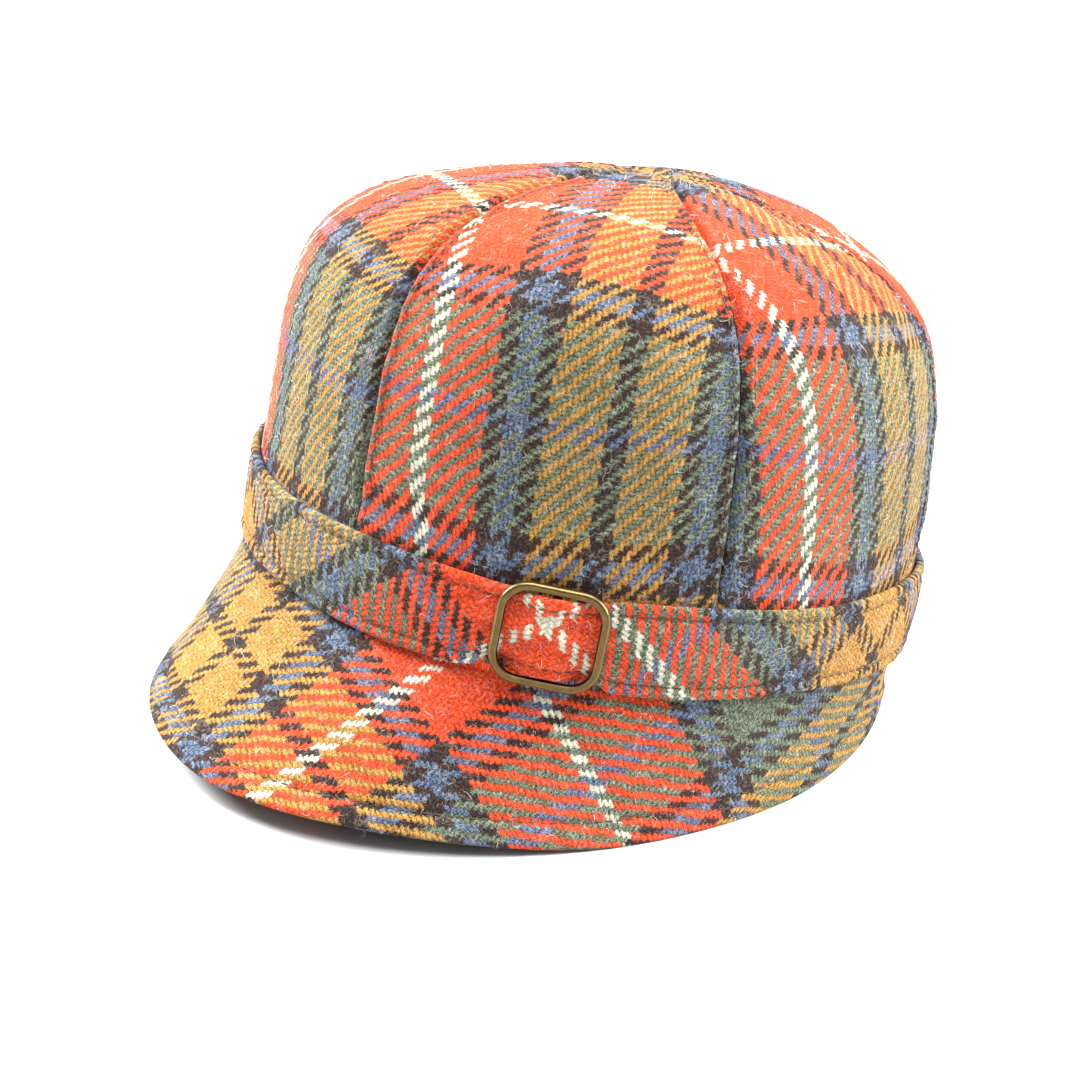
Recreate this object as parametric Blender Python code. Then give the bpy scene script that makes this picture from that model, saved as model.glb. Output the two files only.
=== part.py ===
"""Six-gore cloche hat of tweed, with a folded band run through a buckle and a flared brim.

Metres, +Z up, the hat's front towards -Y. The hat stands at z = 0 on both sides of its brim's
lower edge, which lie flat, with the middle of its bounding box over the origin. The crown, the
band and the buckle are modelled in the crown's own frame, whose z = 0 is the crease where the
brim turns outwards. That frame leans back a little, because the brim is deeper at the front.

Angles run round the head from 0 at the front centre towards +X, the wearer's left.
"""

import math

import bmesh
import bpy
import numpy as np
from mathutils import Matrix, Vector

# Head and crown
HEAD_LENGTH = 0.1960        # the head oval, outside; its girth is about 600 mm
HEAD_WIDTH = 0.1848
OVAL_POWER = 2.04           # 2 is an ellipse, more is a little squarer
CROWN_HEIGHT = 0.1160
CROWN_WALL = 0.0020
GORES = 6
GORE_PUFF = 0.0012          # how far a gore stands proud of its seams
PUFF_POWER = 2.5            # more makes a puffed gore flatter in its middle
FORWARD_LEAN = 0.0107       # the top's shift towards the front
LEAN_POWER = 1.5            # more leaves the lower crown straighter
TOP_SLOPE = 0.025           # slope of the top, up towards the wearer's left
SIDE_SLUMP = 0.0053         # how far the soft top sinks on the wearer's right
SLUMP_ANGLE = math.radians(-95)
SLUMP_SPREAD = math.radians(50)
BACK_RISE = 0.0020          # how far the top stands fuller at the back
RISE_ANGLE = math.radians(170)
RISE_SPREAD = math.radians(45)
TIP_BACK = 0.0106           # the tip, where the seams meet, lies this far back of the top's middle
BASE_WAVE = 0.0012          # the base line runs this much lower at front and back, higher at the sides
TIP_HOLE = 0.0015           # distance from the tip at which a gore's point is cut off

# How the hat sits
LEAN_BACK = math.radians(6.5)
SEAT_HEIGHT = 0.0300        # middle of the crown's base over the ground

# Brim
BRIM_WALL = 0.0028
BRIM_FRONT = 0.0404         # reach past the crown's base, measured on the ground
BRIM_SIDE = -0.0014         # at the sides the brim tucks in a little
BRIM_BACK = 0.0120
BRIM_WIDEST = 0.0109        # the brim is widest this far in front of the crown's middle
BRIM_POWER = 1.88
BRIM_RISE_FRONT = 0.0060    # how far the edge rises off the ground at the front centre
BRIM_RISE_BACK = 0.0020
BRIM_HOLLOW = 0.0012        # how far the flare curves in between crease and edge
BRIM_COLLAR = 0.0040        # upright strip under the band, which joins the crown
BRIM_ROUND = 0.0009         # rounding of the brim's lower edge
BRIM_EASE = 0.35            # share of the flare in which the wall turns from square to level
FLAT_TO_FRONT = math.radians(63)  # the edge lies flat from this angle off the front centre
FLAT_TO_BACK = math.radians(60)   # and up to this angle off the back centre

# Band
BAND_HEIGHT = 0.0242
BAND_THICK = 0.0024
BAND_GATHERED = 0.0196      # its height where it is gathered inside the buckle
BAND_LIFT = 0.0002          # its lower edge over the crease
BAND_SHOULDER = 0.0020      # the gathering eases out over this much of the band under a side bar
BUMP_ROOM = 0.0015          # the bump over the centre bar ends this far inside the side bars

# Buckle
BUCKLE_ANGLE = math.radians(35.5)
BUCKLE_WIDTH = 0.0284
BUCKLE_HEIGHT = 0.0268
BUCKLE_CORNER = 0.0061      # outer corner radius
BUCKLE_BAR = 0.0027         # breadth of the rim, seen from the front
BUCKLE_THICK = 0.0024
BUCKLE_EDGE = 0.0007        # bevel round the rim
CENTRE_BAR = 0.0030
CENTRE_BAR_THICK = 0.0015
CENTRE_BAR_DROP = 0.0006    # how far the centre bar lies behind the rim's back face
RIM_SETTLE = 0.7            # share of the crown's curve under the rim by which it sits lower

# Clearances
GAP = 0.0003                # between pieces that touch
BAND_EASE = 0.0004          # between the crown and the band's inner face
BAR_EASE = 0.0006           # between the centre bar and the band, which follows the crown's bulge

# Crown outline from the base to the tip: share of the head oval, share of the crown height
CROWN_OUTLINE = (
    # (radius, height)
    (0.980, 0.00),
    (0.981, 0.20),
    (0.970, 0.42),
    (0.944, 0.605),
    (0.878, 0.756),
    (0.751, 0.863),
    (0.568, 0.935),
    (0.394, 0.975),
    (0.200, 1.005),
    (0.000, 1.00),
)
TIP_ZONE = 0.6              # the tip's shift fades out, and the slump in, up to this share of the radius
PUFF_START = 0.25           # the puff grows over this share of the outline above the band
PUFF_END = 0.75             # and fades from this share of the outline to the tip

# Band section: share of the thickness from the inner face, share of the height from the middle.
# The outer face dips along the two rows of topstitching and swells between them.
BAND_SECTION = (
    # (depth, height)
    (0.00, -0.45),
    (0.00, 0.00),
    (0.00, 0.45),
    (0.30, 0.50),
    (0.75, 0.50),
    (0.96, 0.45),
    (0.88, 0.36),
    (1.00, 0.22),
    (1.00, -0.22),
    (0.88, -0.36),
    (0.96, -0.45),
    (0.75, -0.50),
    (0.30, -0.50),
)

# Fineness
GORE_COLUMNS = 8
GORE_ROWS = 18
BRIM_STATIONS = 80
BRIM_ROWS = 7
BAND_STATIONS = 60
BUCKLE_STATIONS = 24        # stations of the band close to the buckle
BUCKLE_REACH = 0.65         # they reach this share of the buckle's width to each side
CORNER_STEPS = 5
STEP = 1e-4                 # small step for slopes of a surface


def oval(angle, half_length, half_width, power):
    """A rounded oval: cosine and sine of the angle, raised to 2 over the power, signs kept."""
    c, s = np.cos(angle), np.sin(angle)
    x = half_width * np.sign(s) * np.abs(s) ** (2 / power)
    y = -half_length * np.sign(c) * np.abs(c) ** (2 / power)
    return x, y


def smooth(value, low, high):
    """0 below low, 1 above high, with a soft curve between."""
    share = np.clip((value - low) / (high - low), 0, 1)
    return share * share * (3 - 2 * share)


def outline(rise):
    """Radius and height shares at rise, 0 at the base and 1 at the tip, on a smooth curve
    through the rows of CROWN_OUTLINE (a cubic whose slope at a row joins its neighbours)."""
    rows = np.array(CROWN_OUTLINE)
    first = 2 * rows[0] - rows[1]
    last = np.array((-rows[-2][0], rows[-2][1]))
    ends = np.vstack([first, rows, last])
    place = np.clip(rise, 0, 1) * (len(rows) - 1)
    index = np.minimum(place.astype(int), len(rows) - 2)
    u = (place - index)[..., None]
    p0, p1, p2, p3 = (ends[index + k] for k in range(4))
    curve = 2 * p1 + (p2 - p0) * u
    curve = curve + (2 * p0 - 5 * p1 + 4 * p2 - p3) * u**2 + (3 * p1 - p0 - 3 * p2 + p3) * u**3
    curve = curve / 2
    return curve[..., 0], curve[..., 1]


def swell(angle, place, spread):
    """1 at a place round the head, fading out over the spread on both sides of it."""
    return np.exp(2 * (np.cos(angle - place) - 1) / spread**2)


def crown_point(angle, rise):
    """A point on the crown's outer face, without the puff of the gores."""
    angle, rise = np.broadcast_arrays(np.asarray(angle, float), np.asarray(rise, float))
    radius, height = outline(rise)
    x, y = oval(angle, HEAD_LENGTH / 2, HEAD_WIDTH / 2, OVAL_POWER)
    near_tip = np.clip(1 - radius / TIP_ZONE, 0, None) ** 2
    lean = FORWARD_LEAN * np.clip(height, 0, None) ** LEAN_POWER
    x = x * radius
    y = y * radius - lean + TIP_BACK * near_tip
    wave = BASE_WAVE * np.cos(2 * angle) * np.clip(1 - height, 0, 1)
    slope = TOP_SLOPE * x
    slump = SIDE_SLUMP * swell(angle, SLUMP_ANGLE, SLUMP_SPREAD)
    fuller = BACK_RISE * swell(angle, RISE_ANGLE, RISE_SPREAD)
    top = slope + (fuller - slump) * (1 - near_tip)
    z = CROWN_HEIGHT * height + top * height**2 - wave
    return np.stack([x, y, z], -1)


def unit(vectors):
    return vectors / np.linalg.norm(vectors, axis=-1, keepdims=True)


def round_crown(angle, rise):
    """Direction round the crown at a point of its outer face."""
    return unit(crown_point(angle + STEP, rise) - crown_point(angle - STEP, rise))


def crown_normal(angle, rise):
    """Outward direction at a point of the crown's outer face."""
    up = crown_point(angle, rise + STEP) - crown_point(angle, rise - STEP)
    return unit(np.cross(round_crown(angle, rise), up))


def level_normal(angle, rise):
    """Outward direction that is level in the crown's frame."""
    along = round_crown(angle, rise)
    return unit(np.stack([along[..., 1], -along[..., 0], np.zeros_like(along[..., 0])], -1))


def rise_at_height(height):
    """Where on the outline the lower crown reaches a height, in metres."""
    rises = np.linspace(0, 0.6, 241)
    return np.interp(height, outline(rises)[1] * CROWN_HEIGHT, rises)


def rise_at_radius(radius):
    """Where on the outline the top of the crown comes this near to the tip, in metres."""
    rises = np.linspace(0.9, 1.0, 201)
    return np.interp(-radius, -outline(rises)[0] * HEAD_WIDTH / 2, rises)


def girth_table(rise):
    """Angles once round the crown, and the length round it up to each."""
    angles = np.linspace(0, 2 * np.pi, 1441)
    steps = np.linalg.norm(np.diff(crown_point(angles, rise), axis=0), axis=1)
    return angles, np.concatenate([[0], np.cumsum(steps)])


def angle_at_share(share):
    """Angle after a share of the girth of the crown's base."""
    angles, lengths = girth_table(0.0)
    return np.interp(share, lengths / lengths[-1], angles)


def closed_wall(name, outer, inner):
    """A mesh wall between two grids of points, closed round its four edges."""
    rows, columns = outer.shape[:2]
    half = rows * columns
    mesh = bmesh.new()
    verts = [mesh.verts.new(point) for point in np.concatenate([outer, inner]).reshape(-1, 3)]
    for row in range(rows - 1):
        for column in range(columns - 1):
            a = row * columns + column
            quad = (a, a + 1, a + 1 + columns, a + columns)
            mesh.faces.new([verts[i] for i in quad])
            mesh.faces.new([verts[i + half] for i in reversed(quad)])
    bottom = list(range(columns))
    right = [row * columns + columns - 1 for row in range(1, rows)]
    top = [half - 1 - k for k in range(1, columns)]
    left = [row * columns for row in range(rows - 2, 0, -1)]
    rim = bottom + right + top + left
    for a, b in zip(rim, rim[1:] + rim[:1]):
        mesh.faces.new([verts[i] for i in (b, a, a + half, b + half)])
    return finished(name, mesh)


def closed_ring(name, sections):
    """A mesh of sections joined one to the next and the last to the first."""
    stations, points = sections.shape[:2]
    mesh = bmesh.new()
    verts = [[mesh.verts.new(point) for point in section] for section in sections]
    for i in range(stations):
        here, there = verts[i], verts[(i + 1) % stations]
        for j in range(points):
            k = (j + 1) % points
            mesh.faces.new((here[j], here[k], there[k], there[j]))
    return finished(name, mesh)


def finished(name, mesh):
    """A mesh object with its faces outwards and round faces shaded smooth."""
    bmesh.ops.recalc_face_normals(mesh, faces=mesh.faces)
    data = bpy.data.meshes.new(name)
    mesh.to_mesh(data)
    mesh.free()
    data.shade_smooth()
    data.set_sharp_from_angle(angle=math.radians(40))
    piece = bpy.data.objects.new(name, data)
    bpy.context.collection.objects.link(piece)
    return piece


def painted(piece, colour, roughness, metallic=0.0):
    """Gives a piece a material of its own."""
    material = bpy.data.materials.new(piece.name)
    material.use_nodes = True
    shader = material.node_tree.nodes["Principled BSDF"]
    shader.inputs["Base Color"].default_value = (*colour, 1.0)
    shader.inputs["Roughness"].default_value = roughness
    shader.inputs["Metallic"].default_value = metallic
    piece.data.materials.append(material)


def crown_panel(number):
    """One gore: a tapering wall from the brim's collar to the tip, a little puffed between
    its seams. Gore 1 lies between the front centre seam and the next one towards +X."""
    share = np.linspace(0, 1, GORE_COLUMNS + 1)
    angle = angle_at_share((number - 1 + share) / GORES)[None, :]
    lowest = rise_at_height(BRIM_COLLAR + GAP / 2)
    rise = np.linspace(lowest, rise_at_radius(TIP_HOLE), GORE_ROWS + 1)[:, None]
    across = 1 - np.abs(2 * share - 1) ** PUFF_POWER
    band_top = rise_at_height(BAND_LIFT + BAND_HEIGHT)
    up = smooth(rise, band_top, band_top + PUFF_START) * (1 - smooth(rise, PUFF_END, 1.0))
    normal = crown_normal(angle, rise)
    outer = crown_point(angle, rise) + normal * (GORE_PUFF * across[None, :] * up)[..., None]
    along = round_crown(angle, rise)
    side = np.zeros(GORE_COLUMNS + 1)
    side[0], side[-1] = GAP / 2, -GAP / 2
    outer = outer + along * side[None, :, None]
    inner = outer - normal * CROWN_WALL
    level = inner[0, :, 2] - outer[0, :, 2]
    inner[0, :, 2] -= level
    piece = closed_wall(f"crown_panel_{number}", outer, inner)
    painted(piece, (0.33, 0.13, 0.06), 0.92)
    return piece


def buckle_place():
    """Matrix of the buckle in the crown's frame: X along the band, Y up it, Z outwards, with
    its middle on the crown's outer face."""
    rise = rise_at_height(BAND_LIFT + BAND_HEIGHT / 2)
    along = Vector(round_crown(BUCKLE_ANGLE, rise))
    along.z = 0
    along.normalize()
    out = Vector(level_normal(BUCKLE_ANGLE, rise))
    up = out.cross(along)
    place = Matrix((along, up, out)).transposed().to_4x4()
    place.translation = Vector(crown_point(BUCKLE_ANGLE, rise))
    return place


def rim_back():
    """Height of the rim's back face over the crown at the buckle's middle. The rim is flat
    and the crown falls away under its sides, so it may lie lower than the band there."""
    side = BUCKLE_WIDTH / 2 - BUCKLE_BAR
    fall = side**2 / HEAD_WIDTH
    return BAND_EASE + BAND_THICK + GAP - RIM_SETTLE * fall


def band_bump(length):
    """How far the band is lifted over the centre bar, at a length from the buckle's middle."""
    bar_front = rim_back() - CENTRE_BAR_DROP + CENTRE_BAR_THICK
    lift = bar_front + BAR_EASE - BAND_EASE
    flat = CENTRE_BAR / 2 + BAR_EASE
    foot = BUCKLE_WIDTH / 2 - BUCKLE_BAR - BUMP_ROOM
    return lift * (1 - smooth(np.abs(length), flat, foot))


def hat_band():
    """The folded band, one closed ring. It hugs the crown, passes behind the sides of the
    buckle and over its centre bar, and is gathered lower inside the buckle."""
    middle = BAND_LIFT + BAND_HEIGHT / 2
    angles, lengths = girth_table(rise_at_height(middle))
    girth = lengths[-1]
    close = BUCKLE_WIDTH * BUCKLE_REACH
    lengths_out = np.concatenate([
        np.linspace(-close, close, BUCKLE_STATIONS, endpoint=False),
        np.linspace(close, girth - close, BAND_STATIONS, endpoint=False),
    ])
    start = np.interp(BUCKLE_ANGLE, angles, lengths)
    angle = np.interp((start + lengths_out) % girth, lengths, angles)
    length = np.where(lengths_out > girth / 2, lengths_out - girth, lengths_out)
    open_half = BUCKLE_WIDTH / 2 - BUCKLE_BAR
    shoulder = smooth(np.abs(length), open_half, BUCKLE_WIDTH / 2 + BAND_SHOULDER)
    height = BAND_GATHERED + (BAND_HEIGHT - BAND_GATHERED) * shoulder
    depth_share, height_share = np.array(BAND_SECTION).T
    z = middle + height[:, None] * height_share
    out = BAND_EASE + band_bump(length)[:, None] + BAND_THICK * depth_share
    rise = rise_at_height(z)
    sections = crown_point(angle[:, None], rise)
    sections = sections + level_normal(angle[:, None], rise) * out[..., None]
    piece = closed_ring("hat_band", sections)
    painted(piece, (0.30, 0.15, 0.07), 0.92)
    return piece


def to_hat(points):
    """Points of the crown's frame in the hat's frame, leant back and lifted to the seat."""
    c, s = math.cos(LEAN_BACK), math.sin(LEAN_BACK)
    turn = np.array(((1, 0, 0), (0, c, s), (0, -s, c)))
    return points @ turn.T + np.array((0, 0, SEAT_HEIGHT))


def edge_rise(angle):
    """How far the brim's lower edge stands off the ground. It lies flat along both sides."""
    front = BRIM_RISE_FRONT * smooth(np.cos(angle), math.cos(FLAT_TO_FRONT), 1.0)
    return front + BRIM_RISE_BACK * smooth(-np.cos(angle), math.cos(FLAT_TO_BACK), 1.0)


def brim_edge(angle):
    """The brim's lower outline, at the top of its rounding."""
    front = HEAD_LENGTH / 2 + BRIM_FRONT - BRIM_WIDEST
    back = HEAD_LENGTH / 2 + BRIM_BACK + BRIM_WIDEST
    half = np.where(np.cos(angle) > 0, front, back)
    x, y = oval(angle, half, HEAD_WIDTH / 2 + BRIM_SIDE, BRIM_POWER)
    return np.stack([x, y - BRIM_WIDEST, edge_rise(angle) + BRIM_ROUND], -1)


def brim():
    """The brim: an upright collar inside the band, a flare down to the ground, and a rounded
    lower edge with a level underside, whose two sides the hat stands on."""
    angle = angle_at_share(np.arange(BRIM_STATIONS) / BRIM_STATIONS)
    base_out = level_normal(angle, 0.0)
    crown_out = to_hat(base_out) - np.array((0, 0, SEAT_HEIGHT))
    slope = brim_edge(angle + STEP) - brim_edge(angle - STEP)
    edge_out = unit(np.stack([slope[:, 1], -slope[:, 0], np.zeros(BRIM_STATIONS)], -1))
    crease = to_hat(crown_point(angle, 0.0))
    edge = brim_edge(angle)
    drop = crease[:, 2] - edge[:, 2]
    reach = ((edge - crease) * edge_out).sum(-1)
    level_wall = BRIM_WALL * np.hypot(drop, reach) / drop

    def outer(share):
        hollow = BRIM_HOLLOW * 4 * share * (1 - share)
        return crease + (edge - crease) * share - edge_out * hollow

    def inner(share):
        towards = unit(crown_out + (edge_out - crown_out) * share)
        wall = BRIM_WALL + (level_wall - BRIM_WALL) * smooth(share, 0.0, BRIM_EASE)
        return outer(share) - towards * wall[:, None]

    shares = np.linspace(0, 1, BRIM_ROWS + 1)
    collar = to_hat(crown_point(angle, rise_at_height(BRIM_COLLAR - GAP / 2)))
    ground = edge - np.array((0, 0, BRIM_ROUND))
    rows = [collar]
    rows += [outer(share) for share in shares]
    rows.append(ground - edge_out * BRIM_ROUND)
    rows.append(ground - edge_out * (level_wall - BRIM_ROUND)[:, None])
    rows += [inner(share) for share in shares[::-1]]
    rows.append(collar - crown_out * BRIM_WALL)
    piece = closed_ring("brim", np.stack(rows, 1))
    painted(piece, (0.36, 0.18, 0.07), 0.92)
    return piece


def rounded_path(half_width, half_height, corner):
    """Points and outward directions round a rounded rectangle, in the plane."""
    turns = np.linspace(0, np.pi / 2, CORNER_STEPS + 1)
    places, outs = [], []
    for quarter, (sx, sy) in enumerate(((1, 1), (-1, 1), (-1, -1), (1, -1))):
        centre = np.array((sx * (half_width - corner), sy * (half_height - corner)))
        for turn in turns + quarter * np.pi / 2:
            out = np.array((math.cos(turn), math.sin(turn)))
            places.append(centre + out * corner)
            outs.append(out)
    return np.array(places), np.array(outs)


def buckle():
    """The buckle: a bevelled rim swept round a rounded square, with a centre bar behind it
    that the band passes over."""
    half_bar = BUCKLE_BAR / 2
    places, outs = rounded_path(
        BUCKLE_WIDTH / 2 - half_bar, BUCKLE_HEIGHT / 2 - half_bar, BUCKLE_CORNER - half_bar
    )
    back, front = rim_back(), rim_back() + BUCKLE_THICK
    section = (
        (-half_bar, back + BUCKLE_EDGE),
        (-half_bar, front - BUCKLE_EDGE),
        (-half_bar + BUCKLE_EDGE, front),
        (half_bar - BUCKLE_EDGE, front),
        (half_bar, front - BUCKLE_EDGE),
        (half_bar, back + BUCKLE_EDGE),
        (half_bar - BUCKLE_EDGE, back),
        (-half_bar + BUCKLE_EDGE, back),
    )
    sections = np.array([
        [(*(place + out * across), level) for across, level in section]
        for place, out in zip(places, outs)
    ])
    piece = closed_ring("buckle", sections)
    painted(piece, (0.32, 0.22, 0.09), 0.38, 1.0)

    bar_back = back - CENTRE_BAR_DROP
    bpy.ops.mesh.primitive_cube_add(size=1)
    bar = bpy.context.object
    bar.name = "centre_bar"
    size = Vector((CENTRE_BAR, BUCKLE_HEIGHT - BUCKLE_BAR, CENTRE_BAR_THICK))
    middle = Vector((0, 0, bar_back + CENTRE_BAR_THICK / 2))
    bar.data.transform(Matrix.Translation(middle) @ Matrix.Diagonal(size).to_4x4())
    bar.hide_render = True
    bar.display_type = "WIRE"
    bar.parent = piece
    joined = piece.modifiers.new("centre_bar", "BOOLEAN")
    joined.operation = "UNION"
    joined.object = bar
    piece.matrix_local = buckle_place()
    return piece


def empty(name, parent=None):
    holder = bpy.data.objects.new(name, None)
    bpy.context.collection.objects.link(holder)
    holder.parent = parent
    return holder


def stand_on_origin(hat, pieces):
    """Moves the whole hat so that the middle of its box's underside is the origin."""
    bpy.context.view_layer.update()
    corners = np.array([p.matrix_world @ v.co for p in pieces for v in p.data.vertices])
    low, high = corners.min(0), corners.max(0)
    middle = (low + high) / 2
    hat.location = (-middle[0], -middle[1], -low[2])


def build():
    for thing in list(bpy.data.objects):
        bpy.data.objects.remove(thing)
    hat = empty("hat")
    crown_frame = empty("crown_frame", hat)
    crown_frame.location = (0, 0, SEAT_HEIGHT)
    crown_frame.rotation_euler = (-LEAN_BACK, 0, 0)
    upper = [crown_panel(number) for number in range(1, GORES + 1)]
    upper += [hat_band(), buckle()]
    for piece in upper:
        piece.parent = crown_frame
    lower = brim()
    lower.parent = hat
    stand_on_origin(hat, upper + [lower])


build()
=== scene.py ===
"""Tweed cloche hat: the detailed pieces, materials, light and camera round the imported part.

Lengths are metres. The hat's front faces -Y and angles run round the head from the front
centre towards +X, the wearer's left. The crown, band and buckle are worked out in the crown's
own frame, whose z = 0 is the crease between band and brim, and are then leant back and lifted.
Cloth coordinates are lengths on the flat cloth: U across the warp threads, V across the weft.
"""

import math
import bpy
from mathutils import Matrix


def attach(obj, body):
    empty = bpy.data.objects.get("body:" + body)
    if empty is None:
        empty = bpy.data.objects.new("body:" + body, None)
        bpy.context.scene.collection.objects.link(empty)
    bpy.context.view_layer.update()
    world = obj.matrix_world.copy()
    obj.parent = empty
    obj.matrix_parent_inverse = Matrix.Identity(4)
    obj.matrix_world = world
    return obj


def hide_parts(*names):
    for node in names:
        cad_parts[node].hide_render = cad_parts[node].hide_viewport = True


bl_info = {
    "name": "Tweed Cloche Hat",
    "version": (1, 0, 0),
    "blender": (4, 5, 0),
    "location": "3D View > Sidebar > Hat",
    "description": "Builds a six-gore tweed cloche hat with a buckled band and a flared brim",
    "category": "Object",
}

import bpy
import numpy as np
from bpy.props import FloatProperty, FloatVectorProperty, PointerProperty
from bpy.types import Operator, Panel, PropertyGroup
from mathutils import Matrix, Vector

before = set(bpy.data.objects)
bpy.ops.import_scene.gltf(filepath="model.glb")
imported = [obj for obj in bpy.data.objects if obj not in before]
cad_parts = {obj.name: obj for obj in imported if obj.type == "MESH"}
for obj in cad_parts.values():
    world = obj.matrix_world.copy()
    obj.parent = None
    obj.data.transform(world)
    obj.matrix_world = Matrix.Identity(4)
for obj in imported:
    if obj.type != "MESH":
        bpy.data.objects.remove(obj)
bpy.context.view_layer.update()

# Crown outline from the base to the tip: share of the head oval, share of the crown height
CROWN_OUTLINE = (
    (0.980, 0.00),
    (0.981, 0.20),
    (0.970, 0.42),
    (0.944, 0.605),
    (0.878, 0.756),
    (0.751, 0.863),
    (0.568, 0.935),
    (0.394, 0.975),
    (0.200, 1.005),
    (0.000, 1.00),
)
STEP = 1e-4                 # small step for slopes of a surface
GORES = 6

# Stripes of the plaid from the middle of the white line on: colour and number of threads
WARP_STRIPES = (
    ("white", 2), ("red", 13), ("black", 4), ("blue", 5), ("black", 4), ("ochre", 13),
    ("black", 5), ("ochre", 13), ("black", 4), ("blue", 5), ("black", 4), ("green", 13),
    ("blue", 5), ("green", 13), ("black", 4), ("blue", 5), ("black", 4), ("red", 13),
    ("white", 2),
)
WEFT_STRIPES = (
    ("white", 1.5), ("red", 21), ("black", 3), ("blue", 4), ("black", 3), ("ochre", 12),
    ("black", 4), ("ochre", 12), ("black", 3), ("blue", 4), ("black", 3), ("green", 20),
    ("blue", 4), ("green", 20), ("black", 3), ("blue", 4), ("black", 3), ("red", 21),
    ("white", 1.5),
)
# How strongly each yarn is mottled with paler and darker wool
HEATHER = {"white": 0.30, "red": 0.35, "ochre": 0.58, "green": 0.90, "blue": 0.85, "black": 0.45}

# Where each gore was cut: the white warp and weft lines, from its centre line and its base
GORE_CUTS = (
    (-0.0320, 0.1310),
    (-0.0292, 0.1292),
    (-0.0240, 0.1265),
    (-0.0300, 0.1300),
    (-0.0350, 0.1320),
    (-0.0130, 0.1230),
)
# Where stripes are seen on the front gores, read off an unrolled view of each gore: the
# view's left and top edges as cloth lengths, then for some warp stripes, and for some weft
# stripes, the place that flat cloth would give and the places where the stripe is seen. Places
# are counted in readings, to the right and down
READING = 0.00015           # one reading in metres
STRIPE_READINGS = {
    0: (-0.01758, 0.05803, (
        (117, ((125, 430), (120, 500), (117, 570), (115, 650), (110, 740), (107, 800), (104, 860),
               (103, 930), (112, 980), (127, 1030), (137, 1080))),
        (229.6, ((236, 420), (238, 500), (236, 600), (232, 700), (224, 800), (222, 900),
                 (222, 1000), (220, 1080))),
        (327.2, ((330, 450), (330, 600), (322, 700), (318, 800), (320, 900), (318, 1000),
                 (318, 1080))),
        (424.8, ((432, 450), (430, 600), (432, 700), (425, 800), (425, 900), (420, 1000))),
        (462.3, ((462, 450), (462, 600), (460, 700), (458, 800), (455, 900), (452, 1000))),
        (559.9, ((555, 600), (557, 700), (557, 800), (556, 900), (555, 1000))),
    ), (
        (382, ((170, 395), (230, 398), (285, 400), (340, 405), (400, 412), (450, 405), (490, 395))),
        (561, ((110, 550), (200, 572), (300, 570), (400, 565), (500, 555), (560, 545))),
        (640, ((240, 665), (350, 665), (450, 662))),
        (600, ((150, 600), (280, 612), (400, 612), (500, 600), (600, 590))),
        (815, ((60, 835), (150, 835), (270, 832), (350, 830), (500, 822), (600, 822))),
        (989, ((60, 990), (200, 990), (350, 990), (500, 985), (600, 975))),
        (1031, ((60, 1040), (200, 1040), (350, 1035), (500, 1030))),
    )),
    1: (-0.02047, 0.04867, (
        (136.5, ((137, 340), (130, 420), (125, 500), (122, 590), (135, 660), (148, 740),
                 (160, 800), (168, 870), (172, 940), (177, 1010))),
        (249, ((232, 400), (232, 500), (240, 600), (255, 690), (272, 780), (285, 860), (292, 950),
               (292, 1010))),
        (346.7, ((325, 400), (303, 500), (303, 590), (340, 680), (355, 760), (360, 850),
                 (358, 950))),
        (444.3, ((415, 450), (405, 510), (425, 590), (445, 700), (460, 800), (465, 900))),
        (481.8, ((450, 400), (440, 500), (455, 600), (470, 700), (478, 800), (480, 900))),
    ), (
        (320, ((150, 325), (200, 343), (260, 350), (330, 350), (400, 352), (450, 342), (500, 315))),
        (500, ((60, 478), (150, 498), (250, 512), (350, 515), (450, 508))),
        (540, ((60, 520), (150, 540), (250, 550), (350, 555), (420, 555))),
        (578, ((50, 565), (150, 578), (240, 600), (350, 602), (440, 600))),
        (752, ((60, 745), (150, 752), (250, 765), (440, 770))),
        (935, ((60, 935), (150, 935), (230, 932), (300, 930))),
        (972, ((60, 975), (230, 972))),
    )),
    5: (-0.03636, 0.06088, (
        (685.3, ((575, 600), (590, 700), (580, 800), (572, 900), (560, 1000))),
        (569, ((500, 650), (505, 750), (490, 850), (475, 950))),
        (452.6, ((400, 600), (408, 700), (400, 800), (395, 900), (385, 1000))),
        (355, ((365, 480), (350, 600), (355, 700), (345, 800), (325, 900), (300, 1000))),
        (242.4, ((228, 500),)),
    ), (
        (402, ((340, 400), (400, 403), (450, 408), (500, 412))),
        (578, ((250, 578), (350, 570), (450, 562), (560, 560), (600, 560))),
        (612, ((400, 605), (500, 600), (620, 590))),
        (830, ((450, 830),)),
        (1000, ((600, 1005),)),
    )),
}

# Where the white lines cross on the strap, and the white lines on its other end: lengths round
# the crown, and the height over the band's middle
STRAP_STAR = (0.0566, 0.0047)
OTHER_END = (0.0807, 0.0880, 0.1108)
# How the brim was cut: the white lines' distance from its front centre at the crease, and how
# far warp and weft are turned there, a little out of square with each other
BRIM_CUT = 0.0291
WARP_TURN, WEFT_TURN = math.radians(17), math.radians(20)
BRIM_GIRTH = 0.62           # length round the brim that its puckers are counted in


def length(name, description, default):
    """A size in metres that a user may change."""
    return FloatProperty(
        name=name, description=description, default=default, unit="LENGTH", precision=4
    )


def number(name, description, default):
    """A plain number that a user may change."""
    return FloatProperty(name=name, description=description, default=default, precision=3)


def colour(name, description, default):
    """A linear colour that a user may change."""
    return FloatVectorProperty(
        name=name, description=description, default=default, subtype="COLOR", size=3, min=0, max=1
    )


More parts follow.
